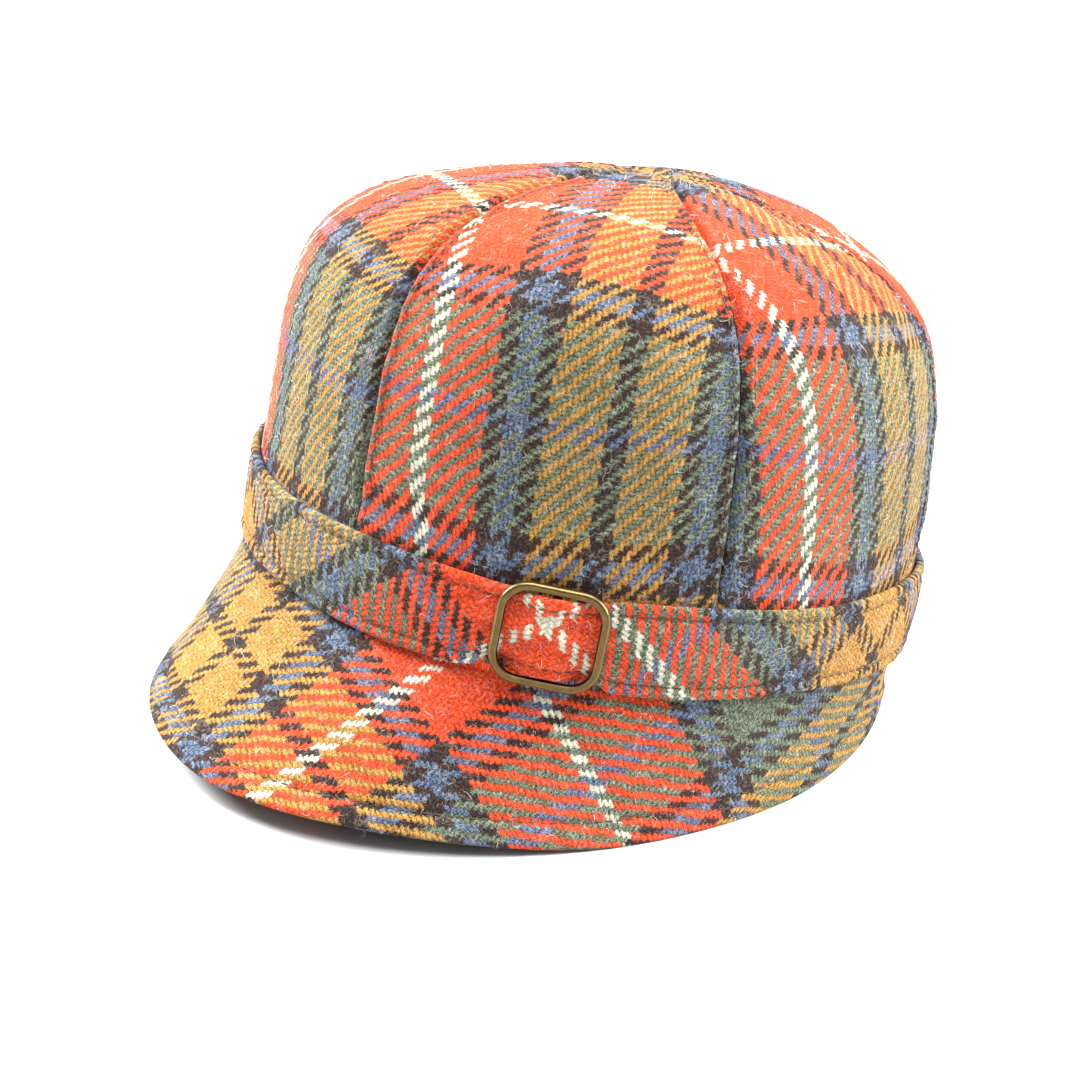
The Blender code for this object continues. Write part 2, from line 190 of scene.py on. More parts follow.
class HatSizes(PropertyGroup):
    head_length: length("Head length", "Length of the head oval, outside", 0.1960)
    head_width: length("Head width", "Width of the head oval, outside", 0.1848)
    oval_power: number("Oval power", "2 is an ellipse, more is a little squarer", 2.04)
    crown_height: length("Crown height", "Base of the crown to its tip", 0.1152)
    crown_wall: length("Crown wall", "Thickness of the doubled cloth", 0.0020)
    gore_puff: length("Gore puff", "How far a gore stands proud of its seams", 0.0012)
    forward_lean: length("Forward lean", "The top's shift to the front", 0.0107)
    top_slope: number("Top slope", "Slope of the top, up to the wearer's left", 0.025)
    side_slump: length("Side slump", "How far the top sinks on the wearer's right", 0.0053)
    back_rise: length("Back rise", "How far the top stands fuller at the back", 0.0020)
    tip_back: length("Tip back", "The tip's place behind the top's middle", 0.0106)
    base_wave: length("Base wave", "Dip of the base line at front and back", 0.0012)
    lean_back: FloatProperty(
        name="Lean back", description="How far the crown leans back", default=math.radians(6.5),
        subtype="ANGLE",
    )
    seat_height: length("Seat height", "Middle of the crown's base over the ground", 0.0300)
    seat_back: length("Seat back", "The crown's middle behind the middle of the hat", 0.0142)
    brim_wall: length("Brim wall", "Thickness of the brim", 0.0028)
    brim_front: length("Brim front", "Reach past the crown at the front", 0.0404)
    brim_side: length("Brim side", "Reach past the crown at the sides", -0.0014)
    brim_back: length("Brim back", "Reach past the crown at the back", 0.0120)
    brim_widest: length("Brim widest", "The widest place, in front of the crown's middle", 0.0109)
    brim_power: number("Brim power", "2 is an ellipse, less is more pointed", 1.88)
    rise_front: length("Rise at the front", "Edge over the ground, front centre", 0.0060)
    rise_back: length("Rise at the back", "Edge over the ground, back centre", 0.0020)
    brim_hollow: length("Brim hollow", "How far the flare curves in", 0.0012)
    brim_round: length("Brim rounding", "Rounding of the lower edge", 0.0009)
    band_height: length("Band height", "Height of the folded band", 0.0242)
    band_thick: length("Band thickness", "Thickness of the folded band", 0.0024)
    band_gathered: length("Gathered height", "The band's height in the buckle", 0.0211)
    band_lift: length("Band lift", "The band's lower edge over the crease", 0.0002)
    band_ease: length("Band ease", "Gap between crown and band", 0.0004)
    gap: length("Gap", "Gap between pieces that touch", 0.0003)
    buckle_angle: FloatProperty(
        name="Buckle angle", description="The buckle's place round the head",
        default=math.radians(35.5), subtype="ANGLE",
    )
    buckle_width: length("Buckle width", "Outside", 0.0284)
    buckle_height: length("Buckle height", "Outside", 0.0268)
    buckle_raise: length("Buckle raise", "The buckle's middle over the band's middle", 0.0008)
    buckle_corner: length("Buckle corner", "Outer corner radius", 0.0080)
    buckle_bar: length("Buckle bar", "Breadth of the rim", 0.0023)
    buckle_thick: length("Buckle thickness", "Depth of the rim", 0.0024)
    centre_bar: length("Centre bar", "Breadth of the hidden bar", 0.0030)
    bar_thick: length("Centre bar thickness", "Depth of the hidden bar", 0.0015)
    bar_sunk: length("Centre bar sunk", "The bar's back behind the rim's back", 0.0006)
    crown_stitch: length("Crown topstitching", "Its distance from the seams", 0.0029)
    band_stitch: length("Band topstitching", "Its distance from the band's edges", 0.0034)
    brim_stitch: length("Brim topstitching", "Its distance from the brim's edge", 0.0068)
    stitch_length: length("Stitch length", "One stitch and its gap", 0.0030)
    thread_width: length("Sewing thread", "Thickness of the sewing thread", 0.00040)


class HatCloth(PropertyGroup):
    warp_pitch: length("Warp pitch", "Middle to middle of two warp threads", 0.001126)
    weft_pitch: length("Weft pitch", "Middle to middle of two weft threads", 0.001197)
    red: colour("Red", "Red yarn", (0.84, 0.068, 0.015))
    ochre: colour("Ochre", "Ochre yarn", (0.50, 0.237, 0.042))
    green: colour("Green", "Grey green yarn", (0.115, 0.145, 0.090))
    blue: colour("Blue", "Blue yarn", (0.085, 0.125, 0.215))
    black: colour("Black", "Black brown yarn", (0.030, 0.012, 0.012))
    white: colour("White", "Cream white yarn", (0.80, 0.73, 0.57))
    sewing: colour("Sewing thread", "Topstitching thread", (0.060, 0.034, 0.022))
    fibres: FloatProperty(
        name="Stray fibres", description="Stray fibres on a square centimetre", default=9.0
    )


class HatMetal(PropertyGroup):
    brass: colour("Brass", "Aged brass in its hollows", (0.066, 0.040, 0.013))
    worn: colour("Worn brass", "Brass where it is rubbed bright", (0.17, 0.115, 0.045))


class HatStage(PropertyGroup):
    azimuth: FloatProperty(
        name="Camera azimuth", description="Camera's direction round the hat",
        default=math.radians(38.625), subtype="ANGLE",
    )
    elevation: FloatProperty(
        name="Camera elevation", description="Camera's height over the ground",
        default=math.radians(22.398), subtype="ANGLE",
    )
    roll: FloatProperty(
        name="Camera roll", description="The camera's turn about its line of sight",
        default=math.radians(7.296), subtype="ANGLE",
    )
    distance: length("Camera distance", "From the point that the camera was set by", 0.63857)
    aim_y: length("Aim Y", "That point's y", 0.0033)
    aim_z: length("Aim Z", "That point's height", 0.0930)
    shift_right: length("Shift right", "The camera's move to its right", -0.00510)
    shift_up: length("Shift up", "The camera's move upwards", -0.04820)
    lens: number("Lens", "Focal length in mm", 77.88)
    floor: colour("Floor", "Floor's colour", (0.60, 0.60, 0.60))
    sky: number("Sky", "Strength of the even light", 0.48)
    key: FloatProperty(name="Key light", description="Power", default=60.0, unit="POWER")
    left: FloatProperty(name="Left light", description="Power", default=58.0, unit="POWER")
    right: FloatProperty(name="Right light", description="Power", default=48.0, unit="POWER")


def oval(angle, half_length, half_width, power):
    """A rounded oval: cosine and sine of the angle, raised to 2 over the power, signs kept."""
    c, s = np.cos(angle), np.sin(angle)
    x = half_width * np.sign(s) * np.abs(s) ** (2 / power)
    y = -half_length * np.sign(c) * np.abs(c) ** (2 / power)
    return x, y


def smooth(value, low, high):
    """0 below low, 1 above high, with a soft curve between."""
    share = np.clip((value - low) / (high - low), 0, 1)
    return share * share * (3 - 2 * share)


def dip(distance, place, width):
    """A bell of height 1 at place: e to minus the square of the distance over the width."""
    return np.exp(-(((distance - place) / width) ** 2))


def unit(vectors):
    """Vectors divided by their own lengths."""
    return vectors / np.linalg.norm(vectors, axis=-1, keepdims=True)


def outline(rise):
    """Radius and height shares at rise, 0 at the base and 1 at the tip: a cubic through the
    rows of CROWN_OUTLINE whose slope at a row joins its neighbours."""
    rows = np.array(CROWN_OUTLINE)
    ends = np.vstack([2 * rows[0] - rows[1], rows, (-rows[-2][0], rows[-2][1])])
    place = np.clip(rise, 0, 1) * (len(rows) - 1)
    index = np.minimum(place.astype(int), len(rows) - 2)
    u = (place - index)[..., None]
    p0, p1, p2, p3 = (ends[index + k] for k in range(4))
    curve = 2 * p1 + (p2 - p0) * u
    curve = curve + (2 * p0 - 5 * p1 + 4 * p2 - p3) * u**2 + (3 * p1 - p0 - 3 * p2 + p3) * u**3
    return curve[..., 0] / 2, curve[..., 1] / 2


def swell(angle, place, spread):
    """1 at a place round the head, and e to minus the square of the distance over the spread
    about it, written with a cosine so that it closes round the head."""
    return np.exp(2 * (np.cos(angle - math.radians(place)) - 1) / math.radians(spread) ** 2)


def crown_point(s, angle, rise):
    """The crown's outer face: the head oval times the outline's radius, leant forwards with
    the height to the power 1.5, with its tip drawn back. Its top slopes to one side, sinks
    on the wearer's right and stands a little fuller at the back."""
    angle, rise = np.broadcast_arrays(np.asarray(angle, float), np.asarray(rise, float))
    radius, height = outline(rise)
    x, y = oval(angle, s.head_length / 2, s.head_width / 2, s.oval_power)
    near_tip = np.clip(1 - radius / 0.6, 0, None) ** 2
    x = x * radius
    y = y * radius - s.forward_lean * np.clip(height, 0, None) ** 1.5 + s.tip_back * near_tip
    wave = s.base_wave * np.cos(2 * angle) * np.clip(1 - height, 0, 1)
    shaped = s.back_rise * swell(angle, 170, 45) - s.side_slump * swell(angle, -95, 50)
    top = s.top_slope * x + shaped * (1 - near_tip)
    return np.stack([x, y, s.crown_height * height + top * height**2 - wave], -1)


def round_crown(s, angle, rise):
    """Direction round the crown."""
    return unit(crown_point(s, angle + STEP, rise) - crown_point(s, angle - STEP, rise))


def crown_normal(s, angle, rise):
    """Outward direction of the crown: round it, crossed with up it."""
    up = crown_point(s, angle, rise + STEP) - crown_point(s, angle, rise - STEP)
    return unit(np.cross(round_crown(s, angle, rise), up))


def level_normal(s, angle, rise):
    """Outward direction that is level in the crown's frame."""
    along = round_crown(s, angle, rise)
    return unit(np.stack([along[..., 1], -along[..., 0], np.zeros_like(along[..., 0])], -1))


def rise_at_height(s, height):
    """Where on the outline the lower crown reaches a height."""
    rises = np.linspace(0, 0.6, 241)
    return np.interp(height, outline(rises)[1] * s.crown_height, rises)


def girth_table(s, rise):
    """Angles once round the crown, and the length round it up to each."""
    angles = np.linspace(0, 2 * np.pi, 1441)
    steps = np.linalg.norm(np.diff(crown_point(s, angles, rise), axis=0), axis=1)
    return angles, np.concatenate([[0], np.cumsum(steps)])


def angle_at_share(s, share):
    """Angle after a share of the girth of the crown's base."""
    angles, lengths = girth_table(s, 0.0)
    turns = np.floor(share)
    return np.interp(share - turns, lengths / lengths[-1], angles) + 2 * np.pi * turns


def to_hat(s, points):
    """Points of the crown's frame in the hat's frame: turned about X, lifted and moved back."""
    c, d = math.cos(s.lean_back), math.sin(s.lean_back)
    turn = np.array(((1, 0, 0), (0, c, d), (0, -d, c)))
    return points @ turn.T + np.array((0, s.seat_back, s.seat_height))


def soft_waves(points, seed, sizes, count=6):
    """Slow unevenness of hand-shaped cloth: the mean of some sines of the place along fixed
    random directions, from -1 to 1."""
    rng = np.random.default_rng(seed)
    total = np.zeros(points.shape[:-1])
    for _ in range(count):
        direction = unit(rng.normal(size=3))
        wave = rng.uniform(*sizes)
        total += np.sin(points @ direction * 2 * np.pi / wave + rng.uniform(0, 2 * np.pi))
    return total / count * 1.6


def arc_lengths(points, axis):
    """Running length along one axis of a grid of points."""
    steps = np.linalg.norm(np.diff(points, axis=axis), axis=-1)
    shape = list(steps.shape)
    shape[axis] = 1
    return np.concatenate([np.zeros(shape), np.cumsum(steps, axis=axis)], axis=axis)


def new_piece(name, points, faces, cloth=None):
    """A smooth mesh object at the origin that rides on the root body. Faces are turned round
    together if their volume comes out negative. Cloth holds U and V for each face corner."""
    a, b, c = points[faces[:, 0]], points[faces[:, 1]], points[faces[:, 2]]
    d = points[faces[:, -1]]
    volume = (np.cross(a, b) * c).sum() + (np.cross(a, c) * d).sum() * (faces.shape[1] == 4)
    if volume < 0:
        faces = faces[:, ::-1]
        cloth = None if cloth is None else cloth[:, ::-1]
    mesh = bpy.data.meshes.new(name)
    mesh.from_pydata(points, [], faces.tolist())
    if cloth is not None:
        mesh.uv_layers.new(name="Cloth").data.foreach_set("uv", cloth.astype(np.float32).ravel())
    mesh.shade_smooth()
    mesh.validate()
    piece = bpy.data.objects.new(name, mesh)
    bpy.context.scene.collection.objects.link(piece)
    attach(piece, "root")
    return piece


def grid_faces(rows, columns, wrap_rows, wrap_columns):
    """Row and column of the four corners of each cell of a grid."""
    r = np.arange(rows if wrap_rows else rows - 1)
    c = np.arange(columns if wrap_columns else columns - 1)
    i, j = (g.ravel() for g in np.meshgrid(r, c, indexing="ij"))
    return np.stack([i, i, i + 1, i + 1], -1), np.stack([j, j + 1, j + 1, j], -1)


def ring_piece(name, points, cloth):
    """A closed ring: sections joined one to the next and the last to the first. Cloth has one
    more row and column than points, so that the pattern may break at the joint."""
    rows, columns = points.shape[:2]
    i, j = grid_faces(rows, columns, True, True)
    faces = (i % rows) * columns + j % columns
    return new_piece(name, points.reshape(-1, 3), faces, cloth[i, j])


def wall_piece(name, outer, inner, cloth):
    """A closed wall between two grids: each row goes out along one and back along the other,
    and the first and last rows are closed by a strip."""
    rows, half = outer.shape[:2]
    points = np.concatenate([outer, inner[:, ::-1]], 1)
    loop = 2 * half
    there = np.concatenate([cloth, cloth[:, ::-1], cloth[:, :1]], 1)
    i, j = grid_faces(rows, loop, False, True)
    faces, corners = [i * loop + j % loop], [there[i, j]]
    k = np.arange(half - 1)
    strip = np.stack([k, loop - 1 - k, loop - 2 - k, k + 1], -1)
    for row, cap in ((0, strip), (rows - 1, strip[:, ::-1])):
        faces.append(row * loop + cap)
        corners.append(there[row][cap])
    faces, corners = np.concatenate(faces), np.concatenate(corners)
    return new_piece(name, points.reshape(-1, 3), faces, corners)


def centred(run):
    """Running lengths counted from the middle column."""
    return run - run[:, run.shape[1] // 2][:, None]


def gore_surface(s, index):
    """Grid of one gore, from its base to its tip, closer set along its seams. Returns the bare
    face, its normals, the flat cloth lengths, and the distances to the seam."""
    t = np.linspace(-1, 1, 75)
    share = 0.5 + 0.5 * (t + 0.72 * np.sin(np.pi * t) / np.pi)
    angle = angle_at_share(s, (index + share) / GORES)[None, :]
    lowest = rise_at_height(s, 0.0042)
    rise = np.linspace(lowest, 0.9975, 125)[:, None]
    bare = crown_point(s, angle, rise)
    normal = crown_normal(s, angle, rise)
    across = arc_lengths(bare, 1)
    u = centred(across)
    up = arc_lengths(bare, 0)[:, share.size // 2] + front_length(s, lowest)
    half_width = (across[:, -1] / 2)[:, None]
    seam = np.minimum(across, across[:, -1:] - across)
    flat_u, flat_v = flattened(u, up, half_width[:, 0])
    return share, rise, bare, normal, flat_u, flat_v, seam


def front_length(s, rise):
    """Length up the crown from its base to a rise, near the front."""
    rises = np.linspace(0, float(rise), 9)
    return arc_lengths(crown_point(s, 0.5, rises), 0)[-1]


def flattened(u, up, half_width):
    """A gore's flat pattern: a ring round a cone opens to an arc, whose radius is the gore's
    width over the rate at which it narrows."""
    bend = np.clip(-np.gradient(half_width, up) / half_width, -8, None)[:, None]
    bend = np.where(np.abs(bend) < 1e-3, 1e-3, bend)
    return np.sin(bend * u) / bend, up[:, None] + (1 - np.cos(bend * u)) / bend


def pull_powers(u, v):
    """The powers that a gore's sideways and upward pull are summed from: a counts 50 mm across
    the gore and b counts 150 mm up it."""
    a, b = u / 0.05, v / 0.15
    one = np.ones_like(a)
    sideways = np.stack([one, a, b, a * b, b**2, b**3], -1)
    return sideways, np.stack([one, a, b, a * b, a**2, b**2], -1)


def pull_factors(index):
    """Factors of those powers: the least squares of the gaps between where the gore's stripes
    are seen and where flat cloth would put them, with a small part of the factors' own squares
    added to keep them small."""
    left, top, warp, weft = STRIPE_READINGS[index]
    cut_u, cut_v = GORE_CUTS[index]
    factors = []
    for axis, stripes in enumerate((warp, weft)):
        seen = np.array([place for _, places in stripes for place in places]) * READING
        flat = np.array([place for place, places in stripes for _ in places]) * READING
        gap = seen[:, 1] - flat if axis else flat - seen[:, 0]
        powers = pull_powers(left + seen[:, 0] + cut_u, top - seen[:, 1] + cut_v)[axis]
        even = powers.T @ powers + 0.03 * np.eye(powers.shape[1])
        factors.append(np.linalg.solve(even, powers.T @ gap))
    return factors


def pulled(u, v, index):
    """Shift of the cloth on a gore, as it was sewn and shaped: powers times factors where
    stripes were read. Just over the band all gores are stretched downwards, and the first one's
    white line hooks sideways."""
    along, up = 0.0, 0.0
    if index in STRIPE_READINGS:
        pairs = zip(pull_powers(u, v), pull_factors(index))
        along, up = (powers @ factors for powers, factors in pairs)
    if index == 0:
        along = along - 0.0040 * (1 - smooth(v, 0.026, 0.050)) * dip(u, -0.029, 0.014)
    return along, up + 0.0038 * (1 - smooth(v, 0.022, 0.046))


def gore_relief(s, share, rise, bare, v, seam):
    """How far the sewn cloth stands off the bare face: the puff of the gore, the valley of the
    seam, the ridge of the turned-in cloth beside it, the groove of the topstitching with its
    puckers, and slow waves. All fade out under the band."""
    above = smooth(rise, rise_at_height(s, s.band_height), rise_at_height(s, s.band_height + 0.012))
    across = 1 - np.abs(2 * share - 1) ** 2.5
    puff_up = smooth(rise, rise_at_height(s, s.band_height), 0.46) * (1 - smooth(rise, 0.75, 1.0))
    puff = s.gore_puff * across[None, :] * puff_up
    near_tip = 1 - smooth(rise, 0.93, 1.0)
    pucker = np.sin(v * 2 * np.pi / 0.0093 + 9 * np.sin(v * 61))
    valley = -0.00155 * dip(seam, 0, 0.0009) * (0.35 + 0.65 * near_tip)
    ridge = 0.00060 * dip(seam, 0.0022, 0.0013) * near_tip
    groove = -0.00032 * dip(seam, 0.0036, 0.0008) * near_tip
    ripple = 0.00018 * pucker * dip(seam, 0.0030, 0.0055) * near_tip
    waves = 0.00055 * soft_waves(bare, 3, (0.045, 0.10)) + 0.00022 * soft_waves(bare, 5, (0.018, 0.035))
    return puff + (valley + ridge + groove + ripple + waves) * above


def tube_stitches(points, normals, s, start=0.35):
    """Stitches along a path: each is a short spindle whose ends dive into the cloth. Returns
    points and faces of all stitches as one array."""
    run = arc_lengths(points, 0)
    count = max(1, int(run[-1] / s.stitch_length))
    pitch = run[-1] / count
    along = np.array((0.0, 0.12, 0.5, 0.88, 1.0)) * 0.72
    place = (np.arange(count)[:, None] + start * 0.4 + along[None, :]) * pitch
    place = np.clip(place, 0, run[-1])

    def at(values):
        """Values of the path at the stitches' places, by running length."""
        return np.stack([np.interp(place, run, values[:, k]) for k in range(3)], -1)

    centre, up = at(points), unit(at(normals))
    ahead = unit(np.gradient(centre, axis=1))
    side = np.cross(ahead, up)
    radius = s.thread_width / 2 * np.array((0.25, 0.9, 1.0, 0.9, 0.25))
    lift = s.thread_width * np.array((-0.9, 0.12, 0.42, 0.12, -0.9))
    turn = np.linspace(0, 2 * np.pi, 6, endpoint=False)
    centre = centre + up * lift[None, :, None]
    ring = side[:, :, None] * np.cos(turn)[None, None, :, None]
    ring = ring + up[:, :, None] * np.sin(turn)[None, None, :, None]
    tube = centre[:, :, None] + ring * radius[None, :, None, None]
    return spindles(tube)


def spindles(tube):
    """Points and faces of many tubes. Six-sided ones get flat ends of two quads, and thin
    three-sided ones stay open."""
    count, rings, sides = tube.shape[:3]
    i, j = grid_faces(rings, sides, False, True)
    faces = [i * sides + j % sides]
    if sides == 6:
        cap = np.array(((0, 1, 2, 3), (0, 3, 4, 5)))
        faces += [cap[:, ::-1], cap + (rings - 1) * sides]
    each = np.concatenate(faces)
    shift = np.arange(count)[:, None, None] * rings * sides
    return tube.reshape(-1, 3), (each[None] + shift).reshape(-1, 4)


def joined(parts):
    """Several sets of points and faces as one."""
    points, faces, base = [], [], 0
    for p, f in parts:
        points.append(p)
        faces.append(f + base)
        base += len(p)
    return np.concatenate(points), np.concatenate(faces)


# Materials


class Nodes:
    """A short way to write a node tree: each call adds a node and links its inputs."""

    def __init__(self, tree):
        """Keeps the tree that the nodes go into."""
        self.tree = tree

    def add(self, kind, inputs=(), **settings):
        """A new node with its settings, and its inputs linked or set."""
        node = self.tree.nodes.new(kind)
        for name, value in settings.items():
            setattr(node, name, value)
        for key, value in dict(inputs).items():
            self.feed(node.inputs[key], value)
        return node

    def feed(self, socket, value):
        """Links an output to the socket, or sets the socket to a plain value."""
        if isinstance(value, bpy.types.NodeSocket):
            self.tree.links.new(value, socket)
        else:
            socket.default_value = value

    def math(self, operation, *values):
        """One operation on one, two or three values."""
        node = self.add("ShaderNodeMath", operation=operation)
        for socket, value in zip(node.inputs, values):
            self.feed(socket, value)
        return node.outputs[0]

    def blend(self, share, a, b, mode="MIX"):
        """a where the share is 0 and b where it is 1, or a times b for MULTIPLY."""
        node = self.add("ShaderNodeMix", data_type="RGBA", blend_type=mode)
        self.feed(node.inputs["Factor"], share)
        self.feed(node.inputs["A"], a)
        self.feed(node.inputs["B"], b)
        return node.outputs["Result"]

    def noise(self, vector, scale, detail=2.0, roughness=0.5):
        """Cloudy noise about 0.5, with scale clouds to the metre."""
        node = self.add(
            "ShaderNodeTexNoise",
            {"Vector": vector, "Scale": scale, "Detail": detail, "Roughness": roughness},
        )
        return node.outputs[0]

    def spread(self, value, low, high, to_low=0.0, to_high=1.0):
        """The range from low to high carried in a line to another one, and held at its ends."""
        node = self.add(
            "ShaderNodeMapRange",
            {"Value": value, "From Min": low, "From Max": high, "To Min": to_low, "To Max": to_high},
        )
        return node.outputs["Result"]

    def ramp(self, value, stops, interpolation="LINEAR"):
        """Colours by value: each stop is its place, then red, green, blue and alpha."""
        node = self.add("ShaderNodeValToRGB", {"Fac": value})
        ramp = node.color_ramp
        ramp.interpolation = interpolation
        while len(ramp.elements) < len(stops):
            ramp.elements.new(0.5)
        for element, (place, *shade) in zip(ramp.elements, stops):
            element.position = place
            element.color = shade
        return node


def stripe_stops(cloth, stripes):
    """Ramp stops for a stripe list: each colour starts at its share of all threads. The stop's
    alpha says how strongly the yarn is mottled."""
    counts = np.array([count for _, count in stripes])
    starts = np.concatenate([[0], np.cumsum(counts)[:-1]]) / counts.sum()
    return [
        (start, *getattr(cloth, name), HEATHER[name]) for start, (name, _) in zip(starts, stripes)
    ]


def weave_group(cloth):
    """Node group that turns cloth lengths into the colour and height of a 2/2 twill. The lengths
    are first shaken by noise of three sizes. The cell of a thread pair shows the warp where the
    warp's number less the weft's, modulo 4, is below 2. Each float is a hump across its yarn and
    along its two cells, with twisted plies, its own mottle of paler and darker wool, and a few
    loose hairs that are contour lines of noise."""
    group = bpy.data.node_groups.new("twill_plaid", "ShaderNodeTree")
    face = group.interface
    face.new_socket("Cloth", in_out="INPUT", socket_type="NodeSocketVector")
    face.new_socket("Colour", in_out="OUTPUT", socket_type="NodeSocketColor")
    face.new_socket("Height", in_out="OUTPUT", socket_type="NodeSocketFloat")
    n = Nodes(group)
    lengths = n.add("NodeGroupInput").outputs["Cloth"]

    def shaken(vector, scale, amount):
        """The place plus a noise colour less 0.5, times the amount."""
        noise = n.add("ShaderNodeTexNoise", {"Vector": vector, "Scale": scale, "Detail": 1.0})
        centred = n.add("ShaderNodeVectorMath", operation="SUBTRACT")
        n.feed(centred.inputs[0], noise.outputs["Color"])
        centred.inputs[1].default_value = (0.5, 0.5, 0.5)
        moved = n.add("ShaderNodeVectorMath", operation="MULTIPLY_ADD")
        n.feed(moved.inputs[0], centred.outputs[0])
        moved.inputs[1].default_value = (amount, amount, 0)
        n.feed(moved.inputs[2], vector)
        return moved.outputs[0]

    place = shaken(shaken(shaken(lengths, 150, 0.0017), 1500, 0.00120), 4200, 0.0010)
    split = n.add("ShaderNodeSeparateXYZ", {"Vector": place})
    u = n.math("DIVIDE", split.outputs["X"], cloth.warp_pitch)
    v = n.math("DIVIDE", split.outputs["Y"], cloth.weft_pitch)
    iu, iv = n.math("FLOOR", u), n.math("FLOOR", v)
    fu, fv = n.math("FRACT", u), n.math("FRACT", v)
    step = n.math("FLOORED_MODULO", n.math("ADD", n.math("SUBTRACT", iu, iv), 0.1), 4.0)
    step = n.math("FLOOR", step)
    weft_up = n.math("GREATER_THAN", step, 1.5)

    def striped(number, stripes):
        """Colour and mottle of a thread: its number over the repeat, read off the stripes, with
        its own random shade of dye."""
        total = sum(count for _, count in stripes)
        turn = n.math("FLOORED_MODULO", n.math("ADD", number, 0.5), float(total))
        share = n.math("DIVIDE", turn, float(total))
        tint = n.ramp(share, stripe_stops(cloth, stripes), "CONSTANT")
        dye = n.add("ShaderNodeTexWhiteNoise", {"W": number}, noise_dimensions="1D")
        shade = n.spread(dye.outputs["Value"], 0, 1, 0.84, 1.14)
        return n.blend(1.0, tint.outputs["Color"], shade, "MULTIPLY"), tint.outputs["Alpha"]

    warp_tint, warp_mottle = striped(iu, WARP_STRIPES)
    weft_tint, weft_mottle = striped(iv, WEFT_STRIPES)
    yarn = n.blend(weft_up, warp_tint, weft_tint)
    mottle = n.add("ShaderNodeMix", {0: weft_up, 2: warp_mottle, 3: weft_mottle}).outputs[0]

    def hump(value, half):
        """1 less the square of the distance from the middle, counted in halves."""
        middle = n.math("DIVIDE", n.math("SUBTRACT", value, half), half)
        return n.math("SUBTRACT", 1.0, n.math("MULTIPLY", middle, middle))

    warp_along = n.math("ADD", n.math("SUBTRACT", 1.0, step), fv)
    weft_along = n.math("ADD", n.math("SUBTRACT", step, 2.0), fu)

    def float_height(across, along, slant):
        """A float's height: its hump across to the power 0.75, times its hump along, times a
        sine of a slanted length for the twisted plies."""
        body = n.math("POWER", n.math("MAXIMUM", hump(across, 0.5), 0.0), 0.75)
        ends = n.math("MAXIMUM", hump(along, 1.0), 0.0)
        ends = n.math("MULTIPLY_ADD", ends, 0.60, 0.40)
        twist = n.math("MULTIPLY_ADD", across, slant, n.math("MULTIPLY", along, 9.4))
        ply = n.math("MULTIPLY_ADD", n.math("SINE", twist), 0.13, 0.87)
        return n.math("MULTIPLY", n.math("MULTIPLY", body, ends), ply)

    warp_height = float_height(fu, warp_along, -5.0)
    weft_height = float_height(fv, weft_along, 5.0)
    height = n.add("ShaderNodeMix", {0: weft_up, 2: warp_height, 3: weft_height}).outputs[0]

    def streaked(turn):
        """Places stretched along the fibres, which lie slanted on their yarn."""
        return n.add("ShaderNodeMapping", {
            "Vector": lengths, "Rotation": (0, 0, turn), "Scale": (0.00018, 0.00062, 1),
        }, vector_type="TEXTURE").outputs[0]

    lie = n.add("ShaderNodeMix", data_type="VECTOR")
    n.feed(lie.inputs[0], weft_up)
    n.feed(lie.inputs["A"], streaked(-0.45))
    n.feed(lie.inputs["B"], streaked(math.pi / 2 - 0.45))
    streak = n.noise(lie.outputs["Result"], 1.0, 2.0, 0.6)
    fluff = n.noise(lengths, 1300, 2.0, 0.6)
    patch = n.noise(lengths, 90, 2.0, 0.5)

    def hairs(offset, scale, width):
        """Thin lines where a noise is near 0.5, kept where a slower noise is over 0.5."""
        moved = n.add("ShaderNodeVectorMath", operation="ADD")
        n.feed(moved.inputs[0], lengths)
        moved.inputs[1].default_value = offset
        field = n.noise(moved.outputs[0], scale, 1.0, 0.5)
        line = n.math("ABSOLUTE", n.math("SUBTRACT", field, 0.5))
        line = n.spread(line, 0.0, width, 1.0, 0.0)
        part = n.noise(moved.outputs[0], scale * 0.55, 0.0)
        return n.math("MULTIPLY", line, n.spread(part, 0.50, 0.56))

    height = n.math("ADD", height, n.spread(streak, 0.30, 0.70, -0.28, 0.28))
    height = n.math("ADD", height, n.spread(fluff, 0.30, 0.70, -0.20, 0.20))
    # Painted shade and light: the yarn's colour is made darker where the floats lie low, between the
    # yarns, and lighter where they stand high, on their tops. Yarns that are little mottled get less of
    # it.
    light = n.spread(height, 0.0, 0.95, 0.10, 1.20)
    depth = n.spread(mottle, 0.30, 0.90, 0.62, 1.0)
    light = n.math("MULTIPLY_ADD", n.math("SUBTRACT", light, 0.75), depth, 0.75)
    # A slow random tone of the cloth is multiplied into the painted shade and light.
    light = n.math("MULTIPLY", light, n.spread(patch, 0.3, 0.7, 0.93, 1.07))
    pale = n.math("MULTIPLY", n.spread(streak, 0.50, 0.64), n.math("MULTIPLY", mottle, 0.85))
    dark = n.math("MULTIPLY", n.spread(streak, 0.48, 0.36), n.math("MULTIPLY", mottle, 0.80))
    tinted = n.blend(dark, yarn, (0.020, 0.014, 0.014, 1.0))
    lighter = n.blend(1.0, yarn, (1.12, 1.6, 1.7, 1.0), "MULTIPLY")
    lighter = n.blend(0.22, lighter, (0.74, 0.66, 0.50, 1.0))
    tinted = n.blend(pale, tinted, lighter)
